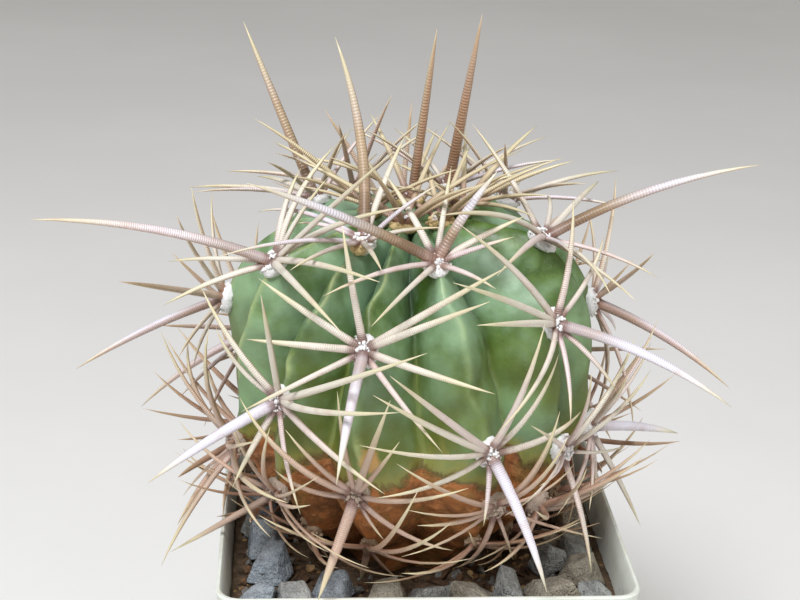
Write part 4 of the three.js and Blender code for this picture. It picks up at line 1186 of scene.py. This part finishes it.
class CACTUS_OT_pot(bpy.types.Operator):
    """Add the square plastic pot"""

    bl_idname = "cactus.add_pot"
    bl_label = "Pot"

    def execute(self, context):
        settings = context.scene.cactus_pot
        height = POT_HIGH.z
        top = (POT_HIGH.x - POT_LOW.x) / 2
        foot = settings.foot / 2
        wall = settings.wall
        lip = 0.45 * MM

        def half(z):
            return foot + (top - foot) * z / height

        bm = bmesh.new()
        # Outer wall from the foot up, over the rounded rim and down the inner wall to the floor
        levels = [
            (foot - 1.4 * MM, 0),
            (foot - 0.4 * MM, 0.15 * MM),
            (half(1.2 * MM), 1.2 * MM),
            (half(0.5 * height), 0.5 * height),
            (half(height - 5.4 * MM) - 0.35 * MM, height - 5.4 * MM),
            (half(height - 5 * MM) - lip * 0.1, height - 4.9 * MM),
            (top - lip * 0.5, height - 1 * MM),
            (top - 0.1 * MM, height - 0.35 * MM),
            (top - 0.35 * MM, height),
            (top - wall * 0.7, height),
            (top - wall, height - 0.4 * MM),
            (half(height - 5 * MM) - wall, height - 5 * MM),
            (half(0.5 * height) - wall, 0.5 * height),
            (half(wall) - wall, wall * 1.6),
            (half(wall) - wall * 2, wall),
        ]
        rings = []
        for width, z in levels:
            corner = settings.corner - (top - width) * 0.12
            rings.append(rounded_square(bm, width, corner, z))
        for lower, upper in zip(rings, rings[1:]):
            bmesh.ops.bridge_loops(bm, edges=lower + upper)
        bmesh.ops.contextual_create(bm, geom=rings[0])
        bmesh.ops.contextual_create(bm, geom=rings[-1])
        bmesh.ops.recalc_face_normals(bm, faces=bm.faces)
        pot = add_object("square_pot", bm, [pot_material(settings)], ["pot"])
        self.cut_drains(context, pot)
        return {"FINISHED"}

    def cut_drains(self, context, pot):
        """Cuts the eight drain holes through the floor."""
        holes = bmesh.new()
        radius = DRAIN_HOLE / 2 * MM
        for x in (-DRAIN_PLACE, 0, DRAIN_PLACE):
            for y in (-DRAIN_PLACE, 0, DRAIN_PLACE):
                if x or y:
                    place = Matrix.Translation((x * MM, y * MM, 0))
                    size = {"segments": 32, "radius1": radius, "radius2": radius, "depth": 6 * MM}
                    bmesh.ops.create_cone(holes, cap_ends=True, matrix=place, **size)
        cutter = bpy.data.objects.new("drain_cutter", take_mesh("drain_cutter", holes))
        context.scene.collection.objects.link(cutter)
        cut = pot.modifiers.new("Drain holes", "BOOLEAN")
        cut.operation = "DIFFERENCE"
        cut.solver = "EXACT"
        cut.object = cutter
        context.view_layer.update()
        shaped = bpy.data.meshes.new_from_object(pot.evaluated_get(context.evaluated_depsgraph_get()))
        pot.modifiers.clear()
        pot.data = shaped
        bpy.data.objects.remove(cutter)
        shaped.set_sharp_from_angle(angle=math.radians(40))


def soil_height(x, y, relief):
    """Height of the soil's surface at a place, in metres."""
    waves = [share * noise.noise(Vector((x * scale, y * scale, seed))) for scale, seed, share in SOIL_WAVES]
    return SOIL_HIGH.z + relief * (sum(waves) - 0.1)


class CACTUS_OT_soil(bpy.types.Operator):
    """Add the soil with its crumbly surface"""

    bl_idname = "cactus.add_soil"
    bl_label = "Soil"

    def execute(self, context):
        settings = context.scene.cactus_ground
        half = (SOIL_HIGH.x - SOIL_LOW.x) / 2
        corner = (POT_CORNER - POT_WALL) * MM
        bm = bmesh.new()
        bmesh.ops.create_grid(bm, x_segments=110, y_segments=110, size=half)
        for vert in bm.verts:
            x, y = vert.co.x, vert.co.y
            over_x = max(abs(x) - (half - corner), 0)
            over_y = max(abs(y) - (half - corner), 0)
            past = math.hypot(over_x, over_y)
            if past > corner:
                vert.co.x -= math.copysign(over_x * (1 - corner / past), x)
                vert.co.y -= math.copysign(over_y * (1 - corner / past), y)
            vert.co.z = soil_height(vert.co.x, vert.co.y, settings.relief)
        rim = [edge for edge in bm.edges if edge.is_boundary]
        below = bmesh.ops.extrude_edge_only(bm, edges=rim)["geom"]
        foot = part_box("pot")[0].z + (POT_WALL + GAP) * MM
        low = (pot_half(POT_WALL) - POT_WALL - GAP) * MM
        for vert in verts_in(below):
            vert.co.x *= low / half
            vert.co.y *= low / half
            vert.co.z = foot
        bmesh.ops.contextual_create(bm, geom=open_edges_in(below))
        bmesh.ops.recalc_face_normals(bm, faces=bm.faces)
        add_object("potting_soil", bm, [soil_material(settings)], ["soil"])
        return {"FINISHED"}


def add_stone(bm, stone, random):
    """An angular stone on the source's hull: a broad ring of five points, a tilted ring of four."""
    x, y, plan, height, slim, heading = stone
    points = []
    along = math.radians(heading)
    lean = 6.3 * random()
    for i in range(9):
        upper = i > 4
        angle = along + (0.8 + 1.57 * i if upper else 1.26 * i) + 0.5 * random()
        narrow = 1 - slim * math.sin(angle - along) ** 2
        reach = plan * narrow * (0.45 + 0.35 * random() if upper else 0.9 + 0.1 * random())
        rise = height * (0.74 + 0.26 * math.cos(angle - lean) if upper else 0.4 * random() - 0.12)
        place = Vector((x + math.cos(angle) * reach, y + math.sin(angle) * reach, SOIL_TOP + GAP + rise))
        points.append(bm.verts.new(place * MM))
    hull = bmesh.ops.convex_hull(bm, input=points)
    bmesh.ops.delete(bm, geom=verts_in(hull["geom_interior"]), context="VERTS")


class CACTUS_OT_gravel(bpy.types.Operator):
    """Add the crushed stones along the pot's walls"""

    bl_idname = "cactus.add_gravel"
    bl_label = "Gravel"

    def execute(self, context):
        settings = context.scene.cactus_ground
        random = make_random(811)
        grey = (settings.stone_low, settings.stone_high, linear(196, 198, 198), linear(128, 98, 74))
        brown = (linear(112, 104, 90), linear(196, 186, 164), linear(214, 208, 194), linear(140, 104, 68))
        blue = (linear(94, 104, 112), linear(172, 182, 190), linear(220, 226, 230), linear(112, 98, 82))
        rocks = [
            stone_material("Gravel grey", *grey),
            stone_material("Gravel brown", *brown),
            stone_material("Gravel blue", *blue),
        ]
        count = 0
        for side, stones in STONES.items():
            joined = bmesh.new()
            for stone in stones:
                bm = bmesh.new()
                add_stone(bm, stone, random)
                self.finish_stone(bm, count)
                for face in bm.faces:
                    face.material_index = 1 if count in BROWN_STONES else 2 if count in BLUE_STONES else 0
                mesh = take_mesh("stone", bm)
                joined.from_mesh(mesh)
                bpy.data.meshes.remove(mesh)
                count += 1
            add_object(f"gravel_stones_{side}", joined, rocks, [f"gravel_{side}"])
        return {"FINISHED"}

    def finish_stone(self, bm, seed):
        """Rounds a stone's edges a little and roughens its faces with chips and pits."""
        bmesh.ops.recalc_face_normals(bm, faces=bm.faces)
        bmesh.ops.dissolve_limit(bm, angle_limit=math.radians(9), verts=bm.verts, edges=bm.edges)
        bevel_edges(bm, STONE_BEVEL * MM, 2)
        bmesh.ops.triangulate(bm, faces=bm.faces)
        for limit in STONE_CUTS:
            long = [edge for edge in bm.edges if edge.calc_length() > limit * MM]
            bmesh.ops.subdivide_edges(bm, edges=long, cuts=1, use_grid_fill=True)
            bmesh.ops.triangulate(bm, faces=bm.faces)
        bm.normal_update()
        shift = Vector((seed * 3.7, seed * 1.3, seed * 0.7))
        for vert in bm.verts:
            rough = noise.noise(vert.co * 520 + shift) + 0.6 * noise.noise(vert.co * 1500 + shift)
            chip = min(noise.noise(vert.co * 260 + shift) + 0.2, 0)
            pit = noise.voronoi(vert.co * 300 + shift)[0][0] - 0.45
            vert.co += vert.normal * (rough * 0.14 + chip * 0.6 - pit * 0.42) * MM


class CACTUS_OT_grit(bpy.types.Operator):
    """Add the grains, bark chips and fibres on the soil"""

    bl_idname = "cactus.add_grit"
    bl_label = "Grit and bark"

    def execute(self, context):
        settings = context.scene.cactus_ground
        random = make_random(4211)
        materials = [
            grit_material("Grit grey", linear(84, 82, 78), linear(140, 138, 132)),
            grit_material("Grit tan", linear(112, 82, 50), linear(178, 148, 104)),
            grit_material("Bark", linear(30, 20, 14), linear(112, 82, 56)),
            grit_material("Fibre", linear(104, 74, 48), linear(164, 128, 88)),
        ]
        grit = bmesh.new()
        for _ in range(settings.grit_count):
            self.add_grain(grit, random, settings.relief)
        add_object("soil_grit", grit, materials, smooth=False)
        bark = bmesh.new()
        for _ in range(settings.bark_count):
            self.add_chip(bark, random, settings.relief)
        bevel_edges(bark, BARK_BEVEL * MM, 1)
        for face in bark.faces:
            face.material_index = 2
        add_object("bark_chips", bark, materials, smooth=False)
        fibres = bmesh.new()
        for _ in range(settings.fibre_count):
            self.add_fibre(fibres, random, settings.relief)
        for face in fibres.faces:
            face.material_index = 3
        add_object("root_fibres", fibres, materials)
        return {"FINISHED"}

    def free_place(self, random, margin):
        """A place on the soil clear of the neck, in metres."""
        inner = (SOIL_HIGH.x - SOIL_LOW.x) / 2 - (1.5 + margin) * MM
        while True:
            x = (2 * random() - 1) * inner
            y = (2 * random() - 1) * inner
            if math.hypot(x - STEM_X * MM, y) > (17 + margin) * MM:
                return x, y

    def add_grain(self, bm, random, relief):
        """A grain of grit or a crumb, half sunk in the soil."""
        x, y = self.free_place(random, 0.6)
        size = (0.35 + 1.25 * random() ** 3) * MM
        z = soil_height(x, y, relief) + size * 0.35
        turn = random_turn(random, "Z") @ random_turn(random, "X")
        stretch = Matrix.Diagonal((1, 0.6 + 0.4 * random(), 0.5 + 0.4 * random(), 1))
        place = Matrix.Translation((x, y, z)) @ turn @ stretch
        made = bmesh.ops.create_icosphere(bm, subdivisions=1, radius=size, matrix=place)
        kind = int(3 * random())
        for vert in made["verts"]:
            vert.co += jitter(random) * size * 0.5
            for face in vert.link_faces:
                face.material_index = kind

    def add_chip(self, bm, random, relief):
        """A chip of bark: a long, uneven block."""
        x, y = self.free_place(random, 2.0)
        long = (2.2 + 4.5 * random()) * MM
        z = soil_height(x, y, relief) + 0.5 * MM
        turn = random_turn(random, "Z") @ Matrix.Rotation((random() - 0.5) * 0.7, 4, "Y")
        shape = Matrix.Diagonal((long, long * (0.2 + 0.2 * random()), (0.7 + 0.6 * random()) * MM, 1))
        made = bmesh.ops.create_cube(bm, size=1, matrix=Matrix.Translation((x, y, z)) @ turn @ shape)
        for vert in made["verts"]:
            vert.co += jitter(random) * 0.9 * MM

    def add_fibre(self, bm, random, relief):
        """A thin curved root that lies on the soil."""
        x, y = self.free_place(random, 1.0)
        heading = random() * FULL_TURN
        curl = (random() - 0.5) * 90
        length = (5 + 11 * random()) * MM
        steps = FIBRE_STEPS
        limit = (SOIL_HIGH.x - SOIL_LOW.x) / 2 - 1.2 * MM
        ring = bmesh.ops.create_circle(bm, cap_ends=True, radius=FIBRE_RADIUS * MM, segments=5)["verts"]
        edges = edges_of(ring)
        turn = Matrix.Rotation(heading, 4, "Z") @ Matrix.Rotation(math.pi / 2, 4, "Y")
        lift = soil_height(x, y, relief) + 0.4 * MM
        bmesh.ops.transform(bm, matrix=Matrix.Translation((x, y, lift)) @ turn, verts=ring)
        for step in range(steps):
            heading += curl * length / steps
            ahead_x = min(max(x + math.cos(heading) * length / steps, -limit), limit)
            ahead_y = min(max(y + math.sin(heading) * length / steps, -limit), limit)
            rise = soil_height(ahead_x, ahead_y, relief) - soil_height(x, y, relief)
            grown = bmesh.ops.extrude_edge_only(bm, edges=edges)["geom"]
            edges = open_edges_in(grown)
            bmesh.ops.translate(bm, verts=verts_in(grown), vec=(ahead_x - x, ahead_y - y, rise))
            x, y = ahead_x, ahead_y
        bmesh.ops.contextual_create(bm, geom=edges)


class CACTUS_OT_stem(bpy.types.Operator):
    """Add the ribbed stem"""

    bl_idname = "cactus.add_stem"
    bl_label = "Stem"

    columns = 26
    rows = 150

    def execute(self, context):
        settings = context.scene.cactus_stem
        around = self.columns * len(RIBS)
        bm = bmesh.new()
        bmesh.ops.create_uvsphere(bm, u_segments=around, v_segments=self.rows, radius=1)
        across_layer = bm.verts.layers.float.new("across")
        down_layer = bm.verts.layers.float.new("down")
        verts = list(bm.verts)
        ball = np.array([vert.co for vert in verts])
        turn = (np.arctan2(ball[:, 0], -ball[:, 1]) / (2 * np.pi)) % 1
        column = np.round(turn * around).astype(int) % around
        row = np.arccos(np.clip(ball[:, 2], -1, 1)) / np.pi * self.rows
        arc = np.minimum(row / (self.rows - 1), 1) * CREST_LENGTH
        rib = column // self.columns
        share = column % self.columns / self.columns
        points, across = self.skin(rib, share, arc, settings)
        bottom = row > self.rows - 0.5
        points[bottom] = (STEM_X, 0, NECK_BOTTOM)
        for vert, point, part, run in zip(verts, points, across, arc):
            vert.co = Vector(point) * MM
            vert[across_layer] = part
            vert[down_layer] = run
        bmesh.ops.recalc_face_normals(bm, faces=bm.faces)
        add_object("ribbed_stem", bm, [skin_material(settings)], ["stem"])
        return {"FINISHED"}

    def skin(self, rib, share, arc, settings):
        """Points of the skin in mm, and how far each lies from its crest toward the furrow."""
        points = np.zeros((len(arc), 3))
        across = np.zeros(len(arc))
        for index in range(len(RIBS)):
            chosen = rib == index
            after = (index + 1) % len(RIBS)
            here = arc[chosen]
            start = rib_azimuth(index, here) + self.waver(index, here, settings)
            end = rib_azimuth(after, here) + self.waver(after, here, settings)
            end = np.where(end < start, end + 360, end)
            part = share[chosen]
            azimuth = start + (end - start) * part
            off = np.abs(1 - np.abs(2 * part - 1))
            swell = np.where(part < 0.5, swell_at(index, here), swell_at(after, here))
            place, _, _, out = frame_at(azimuth, here)
            depth = self.depth(off, here, swell)
            depth = depth - self.relief(place, off, here, settings)
            points[chosen] = place - out * depth[:, None]
            across[chosen] = off
        return points, across

    def waver(self, rib, arc, settings):
        """How far a crest sways to the side between its areoles, in degrees."""
        near = np.min([np.abs(arc - areole) for areole in RIBS[rib][2]], axis=0)
        free = smoothstep(near, 2.5, 9) * smoothstep(arc, 12, 30) * smoothstep(CREST_LENGTH - arc, 8, 30)
        sway = np.sin(arc * 0.27 + rib * 2.4) + 0.35 * np.sin(arc * 0.62 + rib * 1.3)
        return settings.sway * free * sway

    def depth(self, off, arc, swell):
        """How deep the skin lies under the crest envelope, in mm."""
        start = smoothstep(arc, 0, FURROW_START)
        end = smoothstep(CREST_LENGTH - arc, 0, FURROW_END)
        fade = 1 - FURROW_LOSS * smoothstep(arc, *FURROW_FADE)
        depth = FURROW * start * fade * (0.35 + 0.65 * end)
        soft = np.sqrt(off * off + 0.004) - math.sqrt(0.004)
        straight = FLAT_SHARE[0] + (FLAT_SHARE[1] - FLAT_SHARE[0]) * smoothstep(arc, *FLAT_FROM)
        flank = straight * soft + (1 - straight) * off**4
        return depth * flank - swell * (1 - off) ** 2

    def relief(self, place, off, arc, settings):
        """Uneven ribs, and the folds of the corky base, in mm outward."""
        ripple = settings.ripple / MM
        wrinkle = settings.wrinkle / MM
        corky = smoothstep(arc, 74, 84) * smoothstep(CREST_LENGTH - arc, 2, 12)
        result = np.zeros(len(arc))
        for i, (x, y, z) in enumerate(place):
            slow = noise.noise(Vector((x, y, z)) / 11)
            folds = noise.noise(Vector((x / 9, y / 9, z / 2.6)))
            flakes = abs(noise.noise(Vector((x / 3.2, y / 3.2, z / 8))))
            result[i] = ripple * slow * (1 - 0.5 * off[i])
            result[i] += corky[i] * wrinkle * (0.7 * folds - 0.8 * flakes)
        return result * smoothstep(arc, 2, 14)


def spine_width(part):
    """A spine's thickness along it, next to its root."""
    return 1 - 0.2 * part - 0.25 * part**2 - 0.55 * part**4


class CACTUS_OT_areoles(bpy.types.Operator):
    """Add every areole: its wool pad and its spines"""

    bl_idname = "cactus.add_areoles"
    bl_label = "Wool and spines"

    def execute(self, context):
        settings = context.scene.cactus_spines
        materials = [spine_material(settings), wool_material(settings)]
        areoles = make_areoles()
        place_spines(areoles)
        random = make_random(977)
        steps = (settings.steps, settings.steps + 4)
        units = {count: self.unit_spine(settings.sides, count) for count in steps}
        for areole in areoles:
            bm = bmesh.new()
            names = ("part", "run", "age", "tone", "dusk", "under", "felt")
            layers = {name: bm.verts.layers.float.new(name) for name in names}
            for spine, turns in areole.grown:
                lowest, highest = TONES[spine.kind]
                tone = lowest + (highest - lowest) * random()
                shares = [share for limit, share in DUSK if areole.arc < limit]
                dusk = shares[0] if spine.kind == "central" and shares else 0.0
                count = steps[1] if spine.sections is LONG_SECTIONS else steps[0]
                verts = self.add_spine(bm, layers, areole, spine, turns, settings, units[count], count)
                for vert in verts:
                    vert[layers["tone"]] = tone
                    vert[layers["dusk"]] = dusk
            self.add_wool(bm, layers["felt"], areole, random, settings)
            for vert in bm.verts:
                vert[layers["age"]] = AGES[areole.row_kind]
            add_object(f"{areole.name}_dressed", bm, materials, [areole.name])
        return {"FINISHED"}

    def unit_spine(self, sides, steps):
        """A cone of unit height cut into even steps, to be laid along each spine's line."""
        bm = bmesh.new()
        bmesh.ops.create_cone(bm, cap_ends=True, segments=sides, radius1=1, radius2=0.5, depth=1)
        uprights = [edge for edge in bm.edges if abs(edge.verts[0].co.z - edge.verts[1].co.z) > 0.5]
        bmesh.ops.subdivide_edges(bm, edges=uprights, cuts=steps - 1, use_grid_fill=True)
        return take_mesh("unit_spine", bm)

    def add_spine(self, bm, layers, areole, spine, turns, settings, unit, steps):
        """A tapered, slightly flat spine: the unit cone laid along its line, its root in the wool."""
        first = len(bm.verts)
        bm.from_mesh(unit)
        bm.verts.ensure_lookup_table()
        verts = bm.verts[first:]
        clock_turn, lift_turn, length = turns
        collar = 1.3 / length
        parts = np.concatenate([[0], collar * np.array([0, 0.5, 1]), np.linspace(collar, 1, steps - 2)[1:]])
        line = spine_points(areole, spine, clock_turn, lift_turn, length, parts)
        ways = np.gradient(line[1:], axis=0)
        ways = np.concatenate([ways[:1], ways])
        ways /= np.linalg.norm(ways, axis=1, keepdims=True)
        line[0] += (areole.place - line[0]) * 0.45 - areole.out * 0.2
        across = np.cross(areole.out, ways)
        across /= np.linalg.norm(across, axis=1, keepdims=True)
        over = np.cross(ways, across)
        widths = spine.radius * spine_width(parts)
        widths[:4] *= (0.9, 1.12, 1.2, 1.02)
        widths[-1] = spine.radius * 0.03
        for vert in verts:
            step = int(round((vert.co.z + 0.5) * steps))
            angle = math.atan2(vert.co.y, vert.co.x)
            point = line[step] + across[step] * (math.cos(angle) * widths[step])
            point = point + over[step] * (math.sin(angle) * widths[step] * settings.flatness)
            vert.co = Vector(point) * MM
            vert[layers["part"]] = parts[step]
            vert[layers["run"]] = parts[step] * length
            # How far this side faces the skin, for the spine's painted shade
            vert[layers["under"]] = 0.5 - 0.5 * math.sin(angle)
        return verts

    def add_wool(self, bm, felt, areole, random, settings):
        """The felt pad: a lumpy cushion over the crest, with a fringe of small tufts."""
        half_length, half_width, thickness = PADS[areole.stage]
        turn = Matrix((areole.side, areole.crown, areole.out)).transposed().to_4x4()
        centre = Vector(areole.place + areole.out * (GAP - 0.4)) * MM
        place = Matrix.Translation(centre) @ turn
        half_length *= settings.spread
        half_width *= settings.spread * (1.5 if areole.stage == "young" else 1)
        shape = Matrix.Diagonal((half_width * MM, half_length * MM, thickness * MM, 1))
        first = len(bm.faces)
        begin = len(bm.verts)
        pad = bmesh.ops.create_uvsphere(bm, u_segments=24, v_segments=14, radius=1, matrix=place @ shape)
        for vert in pad["verts"]:
            away = (vert.co - centre).normalized()
            lump = noise.noise(vert.co * 1300) + 0.8 * noise.noise(vert.co * 3400)
            vert.co += away * lump * 0.45 * MM
        for i in range(TUFTS):
            angle = FULL_TURN * (i + random()) / TUFTS
            reach = 0.2 + 0.88 * random()
            spot = Vector((math.cos(angle) * half_width * reach, math.sin(angle) * half_length * reach, 0))
            spot.z = thickness * (1.3 - 0.95 * reach * reach)
            size = (0.2 + 0.34 * random()) * MM
            there = place @ Matrix.Translation(spot * MM)
            tuft = bmesh.ops.create_icosphere(bm, subdivisions=1, radius=size, matrix=there)
            for vert in tuft["verts"]:
                vert.co += jitter(random) * size * 0.6
        bm.faces.ensure_lookup_table()
        for face in bm.faces[first:]:
            face.material_index = 1
        bm.verts.ensure_lookup_table()
        for vert in bm.verts[begin:]:
            away = np.array(vert.co - centre) / MM
            along = away @ areole.crown / half_length
            beside = away @ areole.side / half_width
            if areole.stage == "young":
                vert[felt] = smoothstep(math.hypot(along, beside), 0.4, 0.75)
            elif areole.arc < TAN_BEFORE:
                vert[felt] = smoothstep(-along, 0.3, 0.8)


class CACTUS_OT_stage(bpy.types.Operator):
    """Add the floor, the lights and the camera"""

    bl_idname = "cactus.add_stage"
    bl_label = "Stage"

    def execute(self, context):
        settings = context.scene.cactus_stage
        bm = bmesh.new()
        bmesh.ops.create_grid(bm, x_segments=1, y_segments=1, size=6)
        mesh = take_mesh("studio_floor", bm)
        mesh.materials.append(floor_material(settings))
        floor = bpy.data.objects.new("studio_floor", mesh)
        context.scene.collection.objects.link(floor)
        world = bpy.data.worlds.new("Soft studio")
        world.use_nodes = True
        backdrop = world.node_tree.nodes["Background"]
        backdrop.inputs["Color"].default_value = WARM_SKY
        backdrop.inputs["Strength"].default_value = settings.sky
        context.scene.world = world
        context.scene.view_settings.view_transform = "Standard"
        self.add_light("key_light", (-0.28, -0.62, 1.12), settings.key, 0.45, DAYLIGHT)
        self.add_light("fill_light", (0.75, -0.6, 0.5), settings.fill, 0.7, LAMPLIGHT)
        self.add_camera(context.scene, settings)
        return {"FINISHED"}

    def add_light(self, name, place, power, size, colour):
        light = bpy.data.lights.new(name, "AREA")
        light.energy = power
        light.size = size
        light.color = colour
        made = bpy.data.objects.new(name, light)
        made.location = place
        aim = Vector((0, 0, 0.1)) - Vector(place)
        made.rotation_euler = aim.to_track_quat("-Z", "Y").to_euler()
        bpy.context.scene.collection.objects.link(made)

    def add_camera(self, scene, settings):
        """The photo's camera, from its place and its yaw, pitch and roll."""
        yaw, pitch, roll = (math.radians(turn) for turn in CAMERA_TURNS)
        place = Vector(CAMERA_PLACE) * MM
        ahead = math.cos(pitch)
        forward = Vector((-math.sin(yaw) * ahead, math.cos(yaw) * ahead, -math.sin(pitch)))
        level = Vector((math.cos(yaw), math.sin(yaw), 0))
        upright = level.cross(forward)
        right = level * math.cos(roll) + upright * math.sin(roll)
        up = upright * math.cos(roll) - level * math.sin(roll)
        lens = bpy.data.cameras.new("photo_camera")
        lens.sensor_width = SENSOR_WIDTH
        lens.lens = settings.focal
        lens.clip_start = 0.01
        lens.clip_end = 30
        camera = bpy.data.objects.new("photo_camera", lens)
        turn = Matrix((right, up, -forward)).transposed().to_4x4()
        camera.matrix_world = Matrix.Translation(place) @ turn
        scene.collection.objects.link(camera)
        scene.camera = camera


class CACTUS_PT_panel(bpy.types.Panel):
    """The add-on's panel in the sidebar"""

    bl_idname = "CACTUS_PT_panel"
    bl_label = "Potted Ferocactus"
    bl_space_type = "VIEW_3D"
    bl_region_type = "UI"
    bl_category = "Cactus"

    def draw(self, context):
        column = self.layout.column()
        for operator in OPERATORS:
            column.operator(operator.bl_idname)
        for name in SETTINGS:
            group = getattr(context.scene, name)
            for prop in group.bl_rna.properties:
                if prop.identifier not in ("rna_type", "name"):
                    column.prop(group, prop.identifier)


SETTINGS = {
    "cactus_pot": PotSettings,
    "cactus_ground": GroundSettings,
    "cactus_stem": StemSettings,
    "cactus_spines": SpineSettings,
    "cactus_stage": StageSettings,
}
OPERATORS = (
    CACTUS_OT_pot,
    CACTUS_OT_soil,
    CACTUS_OT_gravel,
    CACTUS_OT_grit,
    CACTUS_OT_stem,
    CACTUS_OT_areoles,
    CACTUS_OT_stage,
)


def register():
    for name, settings in SETTINGS.items():
        bpy.utils.register_class(settings)
        setattr(bpy.types.Scene, name, PointerProperty(type=settings))
    for operator in OPERATORS:
        bpy.utils.register_class(operator)
    bpy.utils.register_class(CACTUS_PT_panel)


def unregister():
    bpy.utils.unregister_class(CACTUS_PT_panel)
    for operator in reversed(OPERATORS):
        bpy.utils.unregister_class(operator)
    for name, settings in SETTINGS.items():
        delattr(bpy.types.Scene, name)
        bpy.utils.unregister_class(settings)


def main():
    register()
    bpy.ops.cactus.add_pot()
    bpy.ops.cactus.add_soil()
    bpy.ops.cactus.add_gravel()
    bpy.ops.cactus.add_grit()
    bpy.ops.cactus.add_stem()
    bpy.ops.cactus.add_areoles()
    bpy.ops.cactus.add_stage()


if __name__ == "__main__":
    main()
